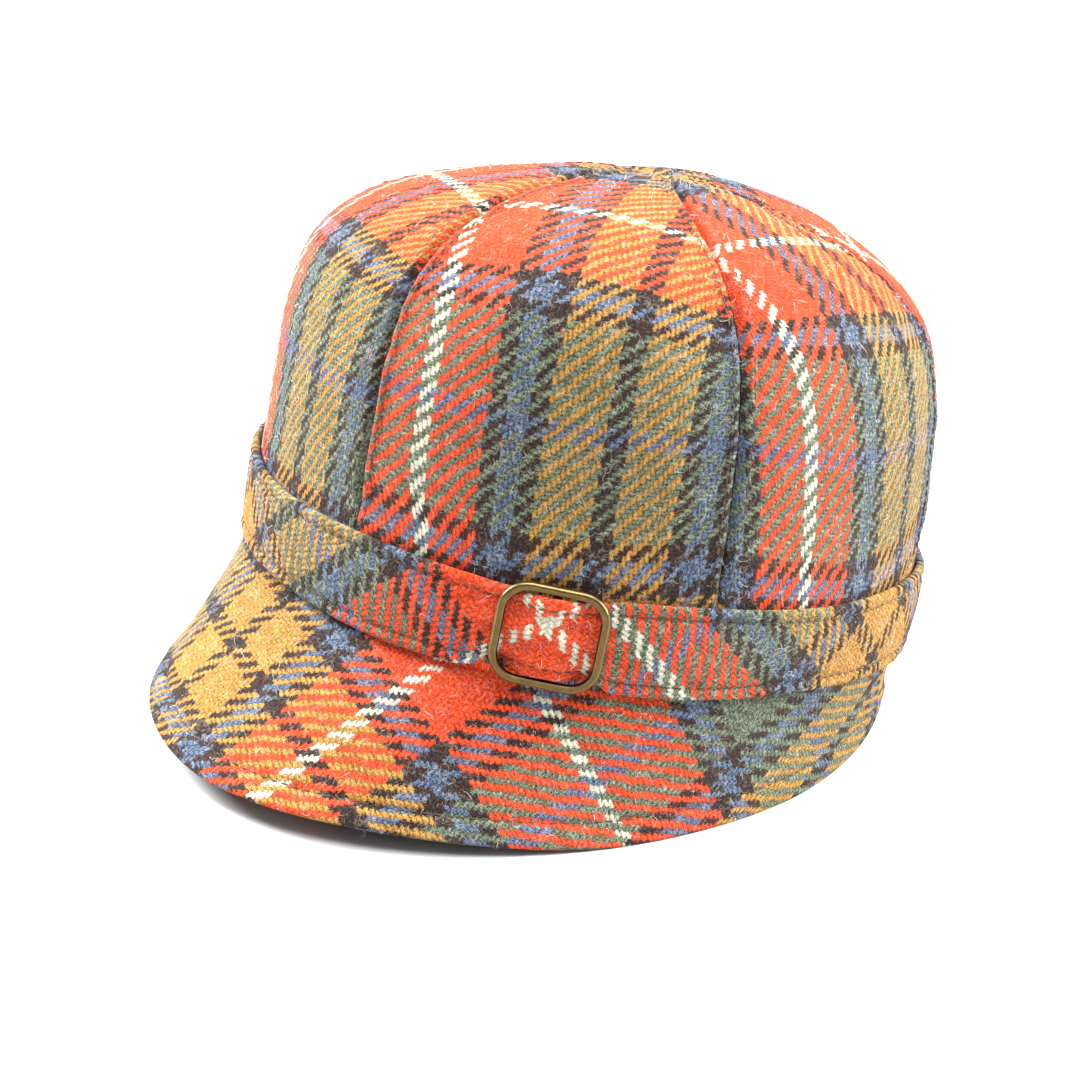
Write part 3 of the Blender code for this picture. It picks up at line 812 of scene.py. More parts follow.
    # The painted shade and light are multiplied into the yarn's colour here.
    tinted = n.blend(1.0, tinted, light, "MULTIPLY")
    loose = n.math("MAXIMUM", hairs((0.31, 0.17, 0), 420, 0.030), hairs((0.05, 0.43, 0), 640, 0.034))
    hair = n.blend(0.45, lighter, (0.62, 0.58, 0.46, 1.0))
    seen = n.math("MULTIPLY", loose, n.math("MULTIPLY_ADD", mottle, 0.50, 0.05))
    tinted = n.blend(seen, tinted, hair)
    out = n.add("NodeGroupOutput")
    n.feed(out.inputs["Colour"], tinted)
    n.feed(out.inputs["Height"], n.math("MULTIPLY_ADD", loose, 0.35, height))
    return group


def new_material(name):
    """A node material, its shader, and the helper that adds to it."""
    material = bpy.data.materials.new(name)
    material.use_nodes = True
    return material, material.node_tree.nodes["Principled BSDF"], Nodes(material.node_tree)


def tweed(name, cloth):
    """Wool tweed: the twill plaid on the piece's own Cloth map, with sheen and bump."""
    group = bpy.data.node_groups.get("twill_plaid") or weave_group(cloth)
    material, shader, n = new_material(name)
    uv = n.add("ShaderNodeUVMap", uv_map="Cloth").outputs["UV"]
    weave = n.add("ShaderNodeGroup")
    weave.node_tree = group
    n.feed(weave.inputs["Cloth"], uv)
    n.feed(shader.inputs["Base Color"], weave.outputs["Colour"])
    rough = n.spread(weave.outputs["Height"], 0, 1, 1.0, 0.88)
    n.feed(shader.inputs["Roughness"], rough)
    shader.inputs["Sheen Weight"].default_value = 0.05
    shader.inputs["Sheen Roughness"].default_value = 0.5
    shader.inputs["Sheen Tint"].default_value = (1.0, 0.93, 0.84, 1.0)
    shader.inputs["Specular IOR Level"].default_value = 0.08
    bump = n.add("ShaderNodeBump", {"Height": weave.outputs["Height"], "Distance": 0.0007})
    bump.inputs["Strength"].default_value = 0.75
    n.feed(shader.inputs["Normal"], bump.outputs["Normal"])
    return material


def thread_material(name, tint):
    """Sewing thread: fine twist lines over the tint."""
    material, shader, n = new_material(name)
    place = n.add("ShaderNodeTexCoord").outputs["Object"]
    grain = n.noise(place, 4200, 2.0, 0.6)
    shade = n.spread(grain, 0.3, 0.7, 0.65, 1.35)
    n.feed(shader.inputs["Base Color"], n.blend(1.0, (*tint, 1.0), shade, "MULTIPLY"))
    shader.inputs["Roughness"].default_value = 0.62
    bump = n.add("ShaderNodeBump", {"Height": grain, "Distance": 0.0001})
    n.feed(shader.inputs["Normal"], bump.outputs["Normal"])
    return material


def fibre_material(cloth):
    """Stray wool: each fibre's own tone picks one of the yarns' colours."""
    material, shader, n = new_material("stray_wool")
    tone = n.add("ShaderNodeAttribute", attribute_name="tone").outputs["Fac"]
    pale = (0.80, 0.74, 0.64)
    stops = [
        (0.0, *pale, 1.0), (0.30, *cloth.ochre, 1.0), (0.48, *cloth.red, 1.0),
        (0.64, 0.24, 0.33, 0.52, 1.0), (0.78, 0.30, 0.38, 0.28, 1.0), (0.90, 0.10, 0.07, 0.06, 1.0),
    ]
    n.feed(shader.inputs["Base Color"], n.ramp(tone, stops, "CONSTANT").outputs["Color"])
    shader.inputs["Roughness"].default_value = 0.7
    shader.inputs["Sheen Weight"].default_value = 0.3
    return material


def brass_material(metal):
    """Aged brass: a dull brown film in the hollows, brighter metal on rubbed places, fine
    scratches, and painted shade on the rim's inner side. The piece's own point attribute is 1 on
    the rubbed ridges of the section and -1 on the inner side, where the shade is painted."""
    material, shader, n = new_material("aged_brass_worn")
    place = n.add("ShaderNodeTexCoord").outputs["Object"]
    wear = n.add("ShaderNodeAttribute", attribute_name="wear").outputs["Fac"]
    cloud = n.noise(place, 420, 4.0, 0.6)
    fine = n.noise(place, 2600, 2.0, 0.7)
    scratch = n.add(
        "ShaderNodeTexNoise", {"Vector": n.add(
            "ShaderNodeMapping", {"Vector": place, "Scale": (900, 900, 5200)}
        ).outputs[0], "Scale": 1.0, "Detail": 2.0}
    ).outputs[0]
    # Rubbed places come from noise and the point attribute. The attribute's painted shade on the inner
    # side also holds the brass there at its darkest.
    rub = n.math("MULTIPLY_ADD", cloud, 0.7, n.math("MULTIPLY", wear, 0.9))
    share = n.spread(rub, 0.35, 1.15)
    tint = n.blend(share, (*metal.brass, 1.0), (*metal.worn, 1.0))
    spots = n.spread(fine, 0.62, 0.72, 0.0, 0.6)
    tint = n.blend(spots, tint, (0.05, 0.032, 0.018, 1.0))
    # Painted shade: where the point attribute is below 0, on the rim's inner side, the brass is
    # darkened towards near black.
    tint = n.blend(n.spread(wear, -1.0, 0.0, 0.9, 0.0), tint, (0.012, 0.007, 0.003, 1.0))
    n.feed(shader.inputs["Base Color"], tint)
    shader.inputs["Metallic"].default_value = 0.92
    rough = n.math("SUBTRACT", n.spread(scratch, 0.3, 0.7, 0.34, 0.50), n.math("MULTIPLY", share, 0.10))
    n.feed(shader.inputs["Roughness"], rough)
    bump = n.add("ShaderNodeBump", {"Height": scratch, "Distance": 0.00004})
    bump.inputs["Strength"].default_value = 0.4
    n.feed(shader.inputs["Normal"], bump.outputs["Normal"])
    return material


def give(piece, material, nodes=()):
    """Gives a piece its material and the solids that it replaces."""
    piece.data.materials.append(material)
    if nodes:
        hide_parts(*nodes)


# Surfaces that the fibres grow on, by part of the hat: points and outward directions of each grid
GROUNDS = {"crown_tweed": [], "band_tweed": [], "brim_tweed": []}


class HAT_OT_crown(Operator):
    """Six gores of twill plaid, each a closed wall that is puffed between its seams"""

    bl_idname = "hat.crown"
    bl_label = "Crown gores"

    def execute(self, context):
        s, cloth = context.scene.hat_sizes, context.scene.hat_cloth
        stitching = []
        for index in range(GORES):
            share, rise, bare, normal, u, v, seam = gore_surface(s, index)
            relief = gore_relief(s, share, rise, bare, v, seam)
            along = round_crown(s, angle_at_share(s, (index + share) / GORES)[None, :], rise)
            side = np.zeros(share.size)
            side[0], side[-1] = s.gap / 2, -s.gap / 2
            shaped = bare + normal * relief[..., None]
            u = u + centred(arc_lengths(shaped, 1)) - centred(arc_lengths(bare, 1))
            outer = shaped + along * side[None, :, None]
            inner = bare - normal * s.crown_wall + along * side[None, :, None]
            inner[0, :, 2] = outer[0, :, 2]
            cut_u, cut_v = GORE_CUTS[index]
            pull_u, pull_v = pulled(u, v, index)
            flat = np.stack([u - cut_u + pull_u, v - cut_v + pull_v], -1)
            outer, inner = to_hat(s, outer), to_hat(s, inner)
            piece = wall_piece(f"gore_{index + 1}", outer, inner, flat)
            give(piece, tweed(f"gore_{index + 1}_tweed", cloth),
                 [f"crown_panel_{index + 1}"])
            face = unit(np.cross(np.gradient(outer, axis=1), np.gradient(outer, axis=0)))
            GROUNDS["crown_tweed"].append((outer[13:, 2:-2], face[13:, 2:-2]))
            shown = slice(15, 118)
            for edge in (0, 1):
                row = stitch_row(outer, face, seam, edge, s.crown_stitch)
                stitching.append(tube_stitches(row[0][shown], row[1][shown], s))
        points, faces = joined(stitching)
        threads = new_piece("crown_topstitching", points, faces)
        give(threads, thread_material("crown_thread", cloth.sewing))
        return {"FINISHED"}


def stitch_row(outer, face, seam, edge, inset):
    """The line on a grid at a distance from one of its side edges, with its outward direction."""
    half = seam.shape[1] // 2
    columns = np.arange(half) if edge == 0 else np.arange(seam.shape[1] - 1, half, -1)
    place = np.array([np.interp(inset, row[columns], columns) for row in seam])
    low = np.clip(np.floor(place).astype(int), 0, seam.shape[1] - 2)
    part = (place - low)[:, None]
    rows = np.arange(len(seam))
    line = outer[rows, low] * (1 - part) + outer[rows, low + 1] * part
    return line, face[rows, low]


def band_sections(s):
    """The band's stations round the head, closer set near the buckle, and its stadium section.
    Returns each station's distance from the buckle, running length and angle, each section
    point's depth, height and share of the outer face, and the height of the band's middle."""
    middle = s.band_lift + s.band_height / 2
    rise = rise_at_height(s, middle)
    angles, lengths = girth_table(s, rise)
    girth = lengths[-1]
    start = np.interp(s.buckle_angle, angles, lengths)
    reach = s.buckle_width * 0.75
    near = np.linspace(-reach, reach, 96, endpoint=False)
    far = np.linspace(reach, girth - reach, 380, endpoint=False)
    off = np.concatenate([near, far])
    off = np.where(off > girth / 2, off - girth, off)
    off = np.sort(off)
    run = start + off
    angle = np.interp(run % girth, lengths, angles)
    cap = np.linspace(-np.pi / 2, np.pi / 2, 9)
    r = s.band_thick / 2
    tall = s.band_height - s.band_thick
    outer_q = np.linspace(0.5, -0.5, 43)[1:-1]
    inner_q = np.linspace(-0.5, 0.5, 13)[1:-1]
    depth = np.concatenate([
        r + r * np.sin(cap), np.full(outer_q.size, 2 * r), r - r * np.sin(cap),
        np.zeros(inner_q.size),
    ])
    height = np.concatenate([
        tall / 2 + r * np.cos(cap), outer_q * tall, -tall / 2 - r * np.cos(cap), inner_q * tall,
    ])
    face = np.concatenate([
        (np.sin(cap) + 1) / 2, np.ones(outer_q.size), (1 - np.sin(cap)) / 2,
        np.zeros(inner_q.size),
    ])
    return off, run, angle, depth, height, face, middle


def rim_back(s):
    """Height of the rim's back face over the crown at the buckle's middle."""
    side = s.buckle_width / 2 - s.buckle_bar
    return s.band_ease + s.band_thick + s.gap - 0.7 * side**2 / s.head_width


class HAT_OT_band(Operator):
    """The folded band with its two rows of topstitching, gathered through the buckle"""

    bl_idname = "hat.band"
    bl_label = "Band"

    def execute(self, context):
        s, cloth = context.scene.hat_sizes, context.scene.hat_cloth
        off, run, angle, depth, height, face, middle = band_sections(s)
        inside = s.buckle_width / 2 - s.buckle_bar
        bar_front = rim_back(s) - s.bar_sunk + s.bar_thick
        bump = (bar_front + s.gap - s.band_ease) * (
            1 - smooth(np.abs(off), s.centre_bar / 2 + s.gap, inside - 0.0012)
        )
        left = smooth(-off, inside, s.buckle_width / 2 + 0.0080)
        right = smooth(off, inside, s.buckle_width / 2 + 0.0030)
        loose = np.where(off < 0, left, right)
        squeeze = (s.band_gathered + (s.band_height - s.band_gathered) * loose) / s.band_height
        edge = s.band_height / 2 - np.abs(height)
        h, o = height[None, :], off[:, None]
        groove = -0.00075 * dip(edge, s.band_stitch, 0.00075)[None, :]
        belly = 0.00030 * dip(edge, s.band_height / 2, 0.0075)[None, :]
        pucker = 0.00018 * np.sin(run * 2 * np.pi / 0.0085 + 2 * np.sin(run * 47))[:, None]
        pucker = pucker * dip(edge, 0.0026, 0.0030)[None, :]
        place = np.stack(np.broadcast_arrays(run[:, None], h, 0 * h), -1)
        waves = 0.00034 * soft_waves(place, 8, (0.02, 0.06))
        tight = (1 - loose)[:, None]
        folds = 0.00055 * np.sin(h * 2 * np.pi / 0.0078 + 0.9 + 40 * o) * tight
        crease = -0.0008 * dip(h - 0.0062 - 0.35 * (o + 0.021), 0, 0.0009)
        crease = crease * dip(o, -0.0215, 0.0060)
        relief = face[None, :] * (groove + belly + pucker + waves + folds + crease)
        droop = 0.00035 * np.sin(run * 2 * np.pi / 0.083 + 1.0)[:, None]
        z = middle + s.buckle_raise * (1 - loose[:, None]) + h * squeeze[:, None]
        z = z + droop * np.sign(h) * loose[:, None]
        out = s.band_ease + bump[:, None] + depth[None, :] + relief
        rise = rise_at_height(s, z)
        level = level_normal(s, angle[:, None], rise)
        points = crown_point(s, angle[:, None], rise) + level * out[..., None]
        points = to_hat(s, points)
        flat = band_cloth(run, np.append(height, height[0]), off, s)
        piece = ring_piece("band_strap", points, flat)
        give(piece, tweed("band_strap_tweed", cloth), ["hat_band"])
        normal = unit(np.cross(np.gradient(points, axis=0), np.gradient(points, axis=1)))
        normal = normal * np.sign((normal[:, 28] * to_direction(s, level[:, 28])).sum())
        shown = slice(9, 50)
        GROUNDS["band_tweed"].append((points[:, shown], normal[:, shown]))
        rows = []
        for side in (1, -1):
            past = np.abs(height * side - s.band_height / 2 + s.band_stitch)
            column = int(np.argmin(past + 9 * (face < 1)))
            line = np.vstack([points[:, column], points[:1, column]])
            up = np.vstack([normal[:, column], normal[:1, column]])
            rows.append(tube_stitches(line, up, s))
        stitches, faces = joined(rows)
        threads = new_piece("band_topstitching", stitches, faces)
        give(threads, thread_material("band_thread", cloth.sewing))
        return {"FINISHED"}


def to_direction(s, vectors):
    """Directions of the crown's frame in the hat's frame."""
    return to_hat(s, vectors) - np.array((0, s.seat_back, s.seat_height))


def band_cloth(run, height, off, s):
    """Cloth lengths of the bias-cut band: length round and height, turned by 42 degrees, and by
    46.5 on the strap's other end. The two ends meet under the buckle's right side, so the
    pattern breaks there."""
    run = np.append(run, run[0] + (run[-1] - run[0]) + (run[1] - run[0]))[:, None]
    off = np.append(off, 1.0)[:, None]
    t = height[None, :]
    right = off > s.buckle_width / 2 - s.buckle_bar / 2
    turn = np.radians(np.where(right, 46.5, 42.0))
    c, d = np.cos(turn), np.sin(turn)
    past, over = run - STRAP_STAR[0], t - STRAP_STAR[1]
    warp_run, weft_run, weft_start = OTHER_END
    u = np.where(right, (run - warp_run) * c + t * d, past * c + over * d)
    v = np.where(right, weft_start - (run - weft_run) * d + t * c, over * c - past * d)
    return np.stack([u, v], -1)


def edge_rise(s, angle):
    """How far the brim's lower edge stands off the ground. It lies flat along both sides."""
    front = s.rise_front * smooth(np.cos(angle), math.cos(math.radians(63)), 1.0)
    return front + s.rise_back * smooth(-np.cos(angle), math.cos(math.radians(60)), 1.0)


def brim_edge(s, angle):
    """The brim's lower outline, at the top of its rounding."""
    front = s.head_length / 2 + s.brim_front - s.brim_widest
    back = s.head_length / 2 + s.brim_back + s.brim_widest
    half = np.where(np.cos(angle) > 0, front, back)
    x, y = oval(angle, half, s.head_width / 2 + s.brim_side, s.brim_power)
    y = y - s.brim_widest + s.seat_back
    return np.stack([x, y, edge_rise(s, angle) + s.brim_round], -1)


def developed(crease, edge):
    """The brim opened flat: quads between crease and edge are laid out one after the other, and
    the direction turns at each by how much their two angles pass a straight line. The front
    centre lies at the origin and points down."""
    steps = np.diff(crease, axis=0)
    rulings = edge - crease

    def angle(a, b):
        """Angle between two directions."""
        cosine = (a * b).sum(-1) / np.linalg.norm(a, axis=-1) / np.linalg.norm(b, axis=-1)
        return np.arccos(np.clip(cosine, -1, 1))

    after, before = angle(steps, rulings[:-1]), angle(-steps, rulings[1:])
    heading = np.concatenate([[0], np.cumsum(after[1:] + before[:-1] - np.pi)])
    moves = np.linalg.norm(steps, axis=1)[:, None]
    moves = moves * np.stack([np.cos(heading), np.sin(heading)], 1)
    line = np.concatenate([[[0, 0]], np.cumsum(moves, 0)])
    point = np.append(heading - after, heading[-1] - (np.pi - before[-1]))
    reach = np.linalg.norm(rulings, axis=1)[:, None]
    across = reach * np.stack([np.cos(point), np.sin(point)], 1)
    middle = len(crease) // 2
    turn = -np.pi / 2 - point[middle]
    c, d = np.cos(turn), np.sin(turn)
    spin = np.array(((c, d), (-d, c)))
    return (line - line[middle]) @ spin, across @ spin


class HAT_OT_brim(Operator):
    """The doubled brim: collar, flare and rolled edge, with a row of topstitching"""

    bl_idname = "hat.brim"
    bl_label = "Brim"

    def execute(self, context):
        s, cloth = context.scene.hat_sizes, context.scene.hat_cloth
        stations = 480
        share_round = (np.arange(stations + 1) - stations / 2) / stations
        angle = angle_at_share(s, share_round)
        crease = to_hat(s, crown_point(s, angle, 0.0))
        edge = brim_edge(s, angle)
        slope = brim_edge(s, angle + STEP) - brim_edge(s, angle - STEP)
        flat_out = unit(np.stack([slope[:, 1], -slope[:, 0], 0 * angle], -1))
        crown_out = to_direction(s, level_normal(s, angle, 0.0))
        drop = crease[:, 2] - edge[:, 2]
        reach = ((edge - crease) * flat_out).sum(-1)
        level_wall = s.brim_wall * np.hypot(drop, reach) / drop
        down = np.linalg.norm(edge - crease, axis=1)
        face_out = unit(np.cross(np.gradient(crease, axis=0), edge - crease))
        face_out = face_out * np.sign((face_out * flat_out).sum(-1, keepdims=True))

        def outer(share):
            """Outer face at a share of the way from crease to edge: a straight line less a
            parabola's hollow, with its groove, roll, puckers, back seam and slow waves."""
            hollow = s.brim_hollow * 4 * share * (1 - share)
            bare = crease + (edge - crease) * share - flat_out * hollow
            to_edge = down * (1 - share)
            groove = -0.00070 * dip(to_edge, s.brim_stitch, 0.0008)
            roll = 0.00040 * dip(to_edge, 0.0036, 0.0022)
            run = share_round * BRIM_GIRTH
            pucker = 0.00016 * np.sin(run * 2 * np.pi / 0.0098) * dip(to_edge, 0.006, 0.004)
            waves = 0.00060 * soft_waves(bare, 12, (0.05, 0.11)) * smooth(share, 0.0, 0.25)
            waves = waves + 0.00020 * soft_waves(bare, 13, (0.02, 0.035)) * smooth(share, 0, 0.2)
            waves = waves * smooth(to_edge, 0.0, 0.006)
            back = np.abs(np.abs(share_round) - 0.5) * BRIM_GIRTH
            seam = -0.0006 * dip(back, 0, 0.0008)
            relief = (groove + roll + pucker) * smooth(share, 0.05, 0.2) + waves + seam
            return bare + face_out * relief[:, None]

        def inner(share):
            """Inner face at that share: the same line and hollow, moved in by the wall."""
            hollow = s.brim_hollow * 4 * share * (1 - share)
            bare = crease + (edge - crease) * share - flat_out * hollow
            towards = unit(crown_out + (flat_out - crown_out) * share)
            wall = s.brim_wall + (level_wall - s.brim_wall) * smooth(share, 0.0, 0.35)
            return bare - towards * wall[:, None]

        collar_rise = rise_at_height(s, 0.0038)
        collar = to_hat(s, crown_point(s, angle, collar_rise))
        ground = edge - np.array((0, 0, s.brim_round))
        shares = np.linspace(0, 1, 61)
        rows = [collar, (collar + crease) / 2]
        rows += [outer(share) for share in shares]
        turn = np.linspace(0, np.pi / 2, 5)[1:]
        for step in turn:
            inward = s.brim_round * (1 - math.cos(step))
            lower = s.brim_round * math.sin(step)
            rows.append(edge - flat_out * inward - np.array((0, 0, lower)))
        rows.append(ground - flat_out * (level_wall / 2)[:, None])
        rows.append(ground - flat_out * (level_wall - s.brim_round)[:, None])
        rows += [inner(share) for share in np.linspace(1, 0, 31)]
        rows.append(collar - crown_out * s.brim_wall)
        lengths = [-0.004, -0.002] + list(shares) + [1.01, 1.02, 1.03, 1.04, 1.05, 1.06]
        lengths += list(np.linspace(1, 0, 31)) + [-0.06, -0.06]
        points = np.stack(rows, 1)
        line, across = developed(crease, edge)
        place = line[:, None] + across[:, None] * np.array(lengths)[None, :, None]
        right, down_cloth = place[..., 0], place[..., 1]
        u = BRIM_CUT - (math.cos(WARP_TURN) * right - math.sin(WARP_TURN) * down_cloth)
        v = BRIM_CUT - (math.sin(WEFT_TURN) * right + math.cos(WEFT_TURN) * down_cloth)
        piece = ring_piece("brim_flare", points[:-1], np.stack([u, v], -1))
        give(piece, tweed("brim_flare_tweed", cloth), ["brim"])
        face = unit(np.cross(np.gradient(points, axis=0), np.gradient(points, axis=1)))
        face = face * np.sign((face[:, 30] * flat_out).sum())
        GROUNDS["brim_tweed"].append((points[:, 6:64], face[:, 6:64]))
        place = 1 - s.brim_stitch / down
        low = np.clip((place * 60).astype(int), 0, 59)
        part = (place * 60 - low)[:, None]
        index = np.arange(len(points))
        row = points[index, low + 2] * (1 - part) + points[index, low + 3] * part
        stitches, faces = tube_stitches(row, face[index, low + 2], s)
        threads = new_piece("brim_topstitching", stitches, faces)
        give(threads, thread_material("brim_thread", cloth.sewing))
        return {"FINISHED"}


def rounded_square(half_width, half_height, corner, steps):
    """Points and outward directions round a rounded rectangle: four corner arcs and a few
    points along each side."""
    places, outs = [], []
    for quarter, (sx, sy) in enumerate(((1, 1), (-1, 1), (-1, -1), (1, -1))):
        centre = np.array((sx * (half_width - corner), sy * (half_height - corner)))
        turns = np.linspace(0, np.pi / 2, steps) + quarter * np.pi / 2
        out = np.stack([np.cos(turns), np.sin(turns)], 1)
        places.append(centre + out * corner)
        outs.append(out)
    return np.concatenate(places), np.concatenate(outs)


class HAT_OT_buckle(Operator):
    """The rounded square brass slider with its hidden centre bar"""

    bl_idname = "hat.buckle"
    bl_label = "Buckle"

    def execute(self, context):
        s, metal = context.scene.hat_sizes, context.scene.hat_metal
        half = s.buckle_bar / 2
        path, outs = rounded_square(
            s.buckle_width / 2 - half, s.buckle_height / 2 - half, s.buckle_corner - half, 14
        )
        back = rim_back(s)
        turn = np.linspace(0, 2 * np.pi, 28, endpoint=False)
        c, d = np.cos(turn), np.sin(turn)
        across = half * np.sign(c) * np.abs(c) ** (2 / 2.3)
        deep = s.buckle_thick / 2 * np.sign(d) * np.abs(d) ** (2 / 2.3)
        lip = 0.00014 * dip(across, -half * 0.60, 0.00035) * (deep > 0)
        hollow = -0.00016 * dip(across, -half * 0.25, 0.00028) * (deep > 0)
        level = back + s.buckle_thick / 2 + deep + lip + hollow
        xy = path[:, None] + outs[:, None] * across[None, :, None]
        sweep = np.concatenate([xy, np.broadcast_to(level[None, :, None], (*xy.shape[:2], 1))], 2)
        i, j = grid_faces(len(path), turn.size, True, True)
        faces = (i % len(path)) * turn.size + j % turn.size
        # The point attribute holds real wear, which is high on the rubbed ridges of the front, and
        # painted shade, -2 on the rim's inner side, which the brass material darkens.
        ridge = dip(np.abs(across), half * 0.80, half * 0.16) * (deep > 0)
        inner_shade = smooth(-across, half * 0.62, half * 0.95)
        wear = np.broadcast_to(ridge + 0.25 * (deep > 0) - 2.0 * inner_shade, sweep.shape[:2]).ravel()
        bar, bar_faces = self.bar(s, back)
        points, faces = joined([(sweep.reshape(-1, 3), faces), (bar, bar_faces)])
        wear = np.concatenate([wear, np.zeros(len(bar))])
        rise = rise_at_height(s, s.band_lift + s.band_height / 2 + s.buckle_raise)
        along = round_crown(s, s.buckle_angle, rise) * np.array((1, 1, 0))
        along = unit(along)
        out = level_normal(s, s.buckle_angle, rise)
        up = np.cross(out, along)
        middle = crown_point(s, s.buckle_angle, rise)
        points = middle + points @ np.stack([along, up, out])
        piece = new_piece("brass_buckle", to_hat(s, points), faces)
        attribute = piece.data.attributes.new("wear", "FLOAT", "POINT")
        attribute.data.foreach_set("value", wear.astype(np.float32))
        give(piece, brass_material(metal), ["buckle"])
        return {"FINISHED"}

    def bar(self, s, back):
        """A rounded bar from side to side behind the rim: an oval section along Y."""
        turn = np.linspace(0, 2 * np.pi, 12, endpoint=False)
        half = s.bar_thick / 2
        middle = back - s.bar_sunk + half
        x = s.centre_bar / 2 * np.cos(turn)
        z = middle + half * np.sin(turn)
        reach = (s.buckle_height - s.buckle_bar) / 2
        y = np.array((-reach, -reach / 2, 0, reach / 2, reach))
        ring = np.stack(np.broadcast_arrays(x[None], y[:, None], z[None]), -1)
        i, j = grid_faces(5, 12, False, True)
        faces = [i * 12 + j % 12]
        fan = np.array([(0, k, k + 1, k + 2) for k in range(1, 10, 2)])
        faces += [fan[:, ::-1], fan + 48]
        return ring.reshape(-1, 3), np.concatenate(faces)


class HAT_OT_fibres(Operator):
    """Stray wool fibres: short curled hairs that stand off the cloth"""

    bl_idname = "hat.fibres"
    bl_label = "Stray fibres"

    def execute(self, context):
        cloth = context.scene.hat_cloth
        material = fibre_material(cloth)
        for seed, (slot, grounds) in enumerate(GROUNDS.items()):
            rng = np.random.default_rng(21 + seed)
            starts, ups = [], []
            for points, normals in grounds:
                across, along = np.gradient(points, axis=0), np.gradient(points, axis=1)
                cells = np.linalg.norm(np.cross(across, along), axis=-1)
                count = int(cloth.fibres * 1e4 * cells.sum())
                pick = rng.choice(cells.size, count, p=(cells / cells.sum()).ravel())
                between = rng.uniform(-0.5, 0.5, (2, count, 1))
                place = points.reshape(-1, 3)[pick]
                place = place + across.reshape(-1, 3)[pick] * between[0]
                starts.append(place + along.reshape(-1, 3)[pick] * between[1])
                ups.append(normals.reshape(-1, 3)[pick])
            tubes, tone = self.hairs(rng, np.concatenate(starts), unit(np.concatenate(ups)))
            points, faces = spindles(tubes)
            piece = new_piece(slot.replace("tweed", "stray_fibres"), points, faces)
            attribute = piece.data.attributes.new("tone", "FLOAT", "POINT")
            attribute.data.foreach_set("value", tone.astype(np.float32))
            give(piece, material)
        return {"FINISHED"}

    def hairs(self, rng, start, up):
        """Three-sided tubes along curled paths. A path's heading turns evenly, with a sine
        added, and its height over the cloth is a part of a sine wave."""
        count = len(start)
        side = unit(np.cross(up, rng.normal(size=(count, 3))))
        ahead = np.cross(up, side)
        size = rng.gamma(2.0, 0.0011, count).clip(0.0009, 0.0075)
        t = np.linspace(0, 1, 5)[None, :]
        bow, curl = rng.normal(0, 2.0, (count, 1)), rng.normal(0, 0.8, (count, 1))
        turn = bow * t + curl * np.sin(t * 6)
        x, y = np.cumsum(np.cos(turn), 1) / 5, np.cumsum(np.sin(turn), 1) / 5
        lift = rng.gamma(1.6, 0.12, (count, 1)).clip(0.04, 0.7)
        height = lift * np.sin(t * rng.uniform(1.6, 3.0, (count, 1)))
        across = ahead[:, None] * x[..., None] + side[:, None] * y[..., None]
        path = across + up[:, None] * height[..., None]
        path = start[:, None] + path * size[:, None, None] - up[:, None] * 0.00010
        path[..., 2] = np.maximum(path[..., 2], 0.0003)
        heading = unit(np.gradient(path, axis=1) + up[:, None] * 1e-7)
        flank = unit(np.cross(heading, up[:, None]) + side[:, None] * 1e-4)
        rise = np.cross(flank, heading)
        thick = rng.uniform(0.000028, 0.000056, (count, 1)) * (1 - 0.6 * t)
        around = np.linspace(0, 2 * np.pi, 3, endpoint=False)[:, None]
        ring = flank[:, :, None] * np.cos(around) + rise[:, :, None] * np.sin(around)
        tubes = path[:, :, None] + ring * thick[:, :, None, None]
        return tubes, np.repeat(rng.uniform(0, 1, count), t.size * 3)


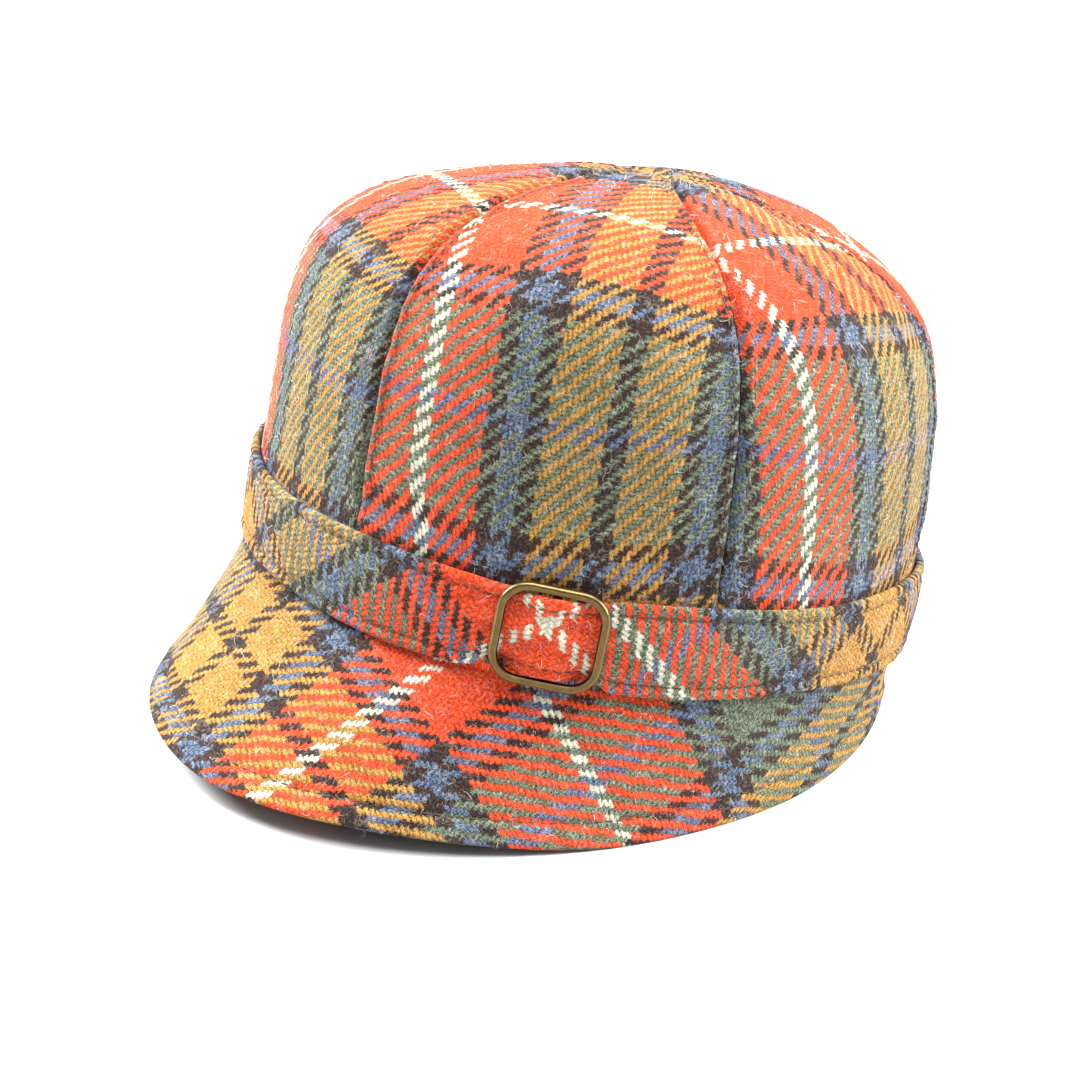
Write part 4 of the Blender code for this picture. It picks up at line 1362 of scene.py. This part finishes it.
class HAT_OT_stage(Operator):
    """Pale floor, even studio light and the camera at the photograph's angle"""

    bl_idname = "hat.stage"
    bl_label = "Stage"

    def execute(self, context):
        stage = context.scene.hat_stage
        bpy.ops.mesh.primitive_plane_add(size=40)
        floor = context.object
        floor.name = "floor"
        material, shader, n = new_material("pale_floor")
        place = n.add("ShaderNodeTexCoord").outputs["Object"]
        cloud = n.noise(place, 3.0, 2.0)
        shade = n.spread(cloud, 0.3, 0.7, 0.985, 1.0)
        n.feed(shader.inputs["Base Color"], n.blend(1.0, (*stage.floor, 1.0), shade, "MULTIPLY"))
        shader.inputs["Roughness"].default_value = 0.9
        floor.data.materials.append(material)

        world = bpy.data.worlds.new("even_light")
        context.scene.world = world
        world.use_nodes = True
        background = world.node_tree.nodes["Background"]
        background.inputs["Color"].default_value = (1.0, 1.0, 1.0, 1.0)
        background.inputs["Strength"].default_value = stage.sky
        self.area("key_light", (0.12, -0.05, 1.35), 1.5, stage.key)
        self.area("left_light", (-1.00, -0.30, 0.60), 0.6, stage.left)
        self.area("right_light", (0.75, 0.95, 0.60), 0.6, stage.right)
        self.camera(context, stage)
        context.scene.view_settings.view_transform = "Standard"
        return {"FINISHED"}

    def area(self, name, place, size, power):
        """A round soft light that faces the hat's middle."""
        light = bpy.data.lights.new(name, "AREA")
        light.shape, light.size, light.energy = "DISK", size, power
        lamp = bpy.data.objects.new(name, light)
        lamp.location = place
        lamp.rotation_mode = "QUATERNION"
        lamp.rotation_quaternion = (Vector((0, 0, 0.07)) - Vector(place)).to_track_quat("-Z", "Y")
        bpy.context.scene.collection.objects.link(lamp)

    def camera(self, context, stage):
        """Back, right and up directions from the angles, then right and up turned by the roll."""
        a, e = stage.azimuth, stage.elevation
        back = Vector((math.sin(a) * math.cos(e), -math.cos(a) * math.cos(e), math.sin(e)))
        right = Vector((math.cos(a), math.sin(a), 0))
        up = back.cross(right)
        place = Vector((0, stage.aim_y, stage.aim_z)) + back * stage.distance
        place += right * stage.shift_right + up * stage.shift_up
        c, d = math.cos(stage.roll), math.sin(stage.roll)
        turned = Matrix((right * c + up * d, up * c - right * d, back)).transposed()
        data = bpy.data.cameras.new("camera")
        data.lens = stage.lens
        data.sensor_width = 36
        camera = bpy.data.objects.new("camera", data)
        camera.matrix_world = Matrix.Translation(place) @ turned.to_4x4()
        context.scene.collection.objects.link(camera)
        context.scene.camera = camera


STEPS = (HAT_OT_crown, HAT_OT_band, HAT_OT_brim, HAT_OT_buckle, HAT_OT_fibres, HAT_OT_stage)


class HAT_PT_panel(Panel):
    """Lists the hat's pieces, each with the button that builds it"""

    bl_idname = "HAT_PT_panel"
    bl_label = "Tweed Cloche Hat"
    bl_space_type = "VIEW_3D"
    bl_region_type = "UI"
    bl_category = "Hat"

    def draw(self, context):
        for step in STEPS:
            self.layout.operator(step.bl_idname, text=step.bl_label)


GROUPS = {
    "hat_sizes": HatSizes, "hat_cloth": HatCloth, "hat_metal": HatMetal, "hat_stage": HatStage,
}
CLASSES = (*GROUPS.values(), *STEPS, HAT_PT_panel)


def register():
    for kind in CLASSES:
        bpy.utils.register_class(kind)
    for name, kind in GROUPS.items():
        setattr(bpy.types.Scene, name, PointerProperty(type=kind))


def unregister():
    for name in GROUPS:
        delattr(bpy.types.Scene, name)
    for kind in reversed(CLASSES):
        bpy.utils.unregister_class(kind)


def main():
    register()
    bpy.ops.hat.crown()
    bpy.ops.hat.band()
    bpy.ops.hat.brim()
    bpy.ops.hat.buckle()
    bpy.ops.hat.fibres()
    bpy.ops.hat.stage()


if __name__ == "__main__":
    main()
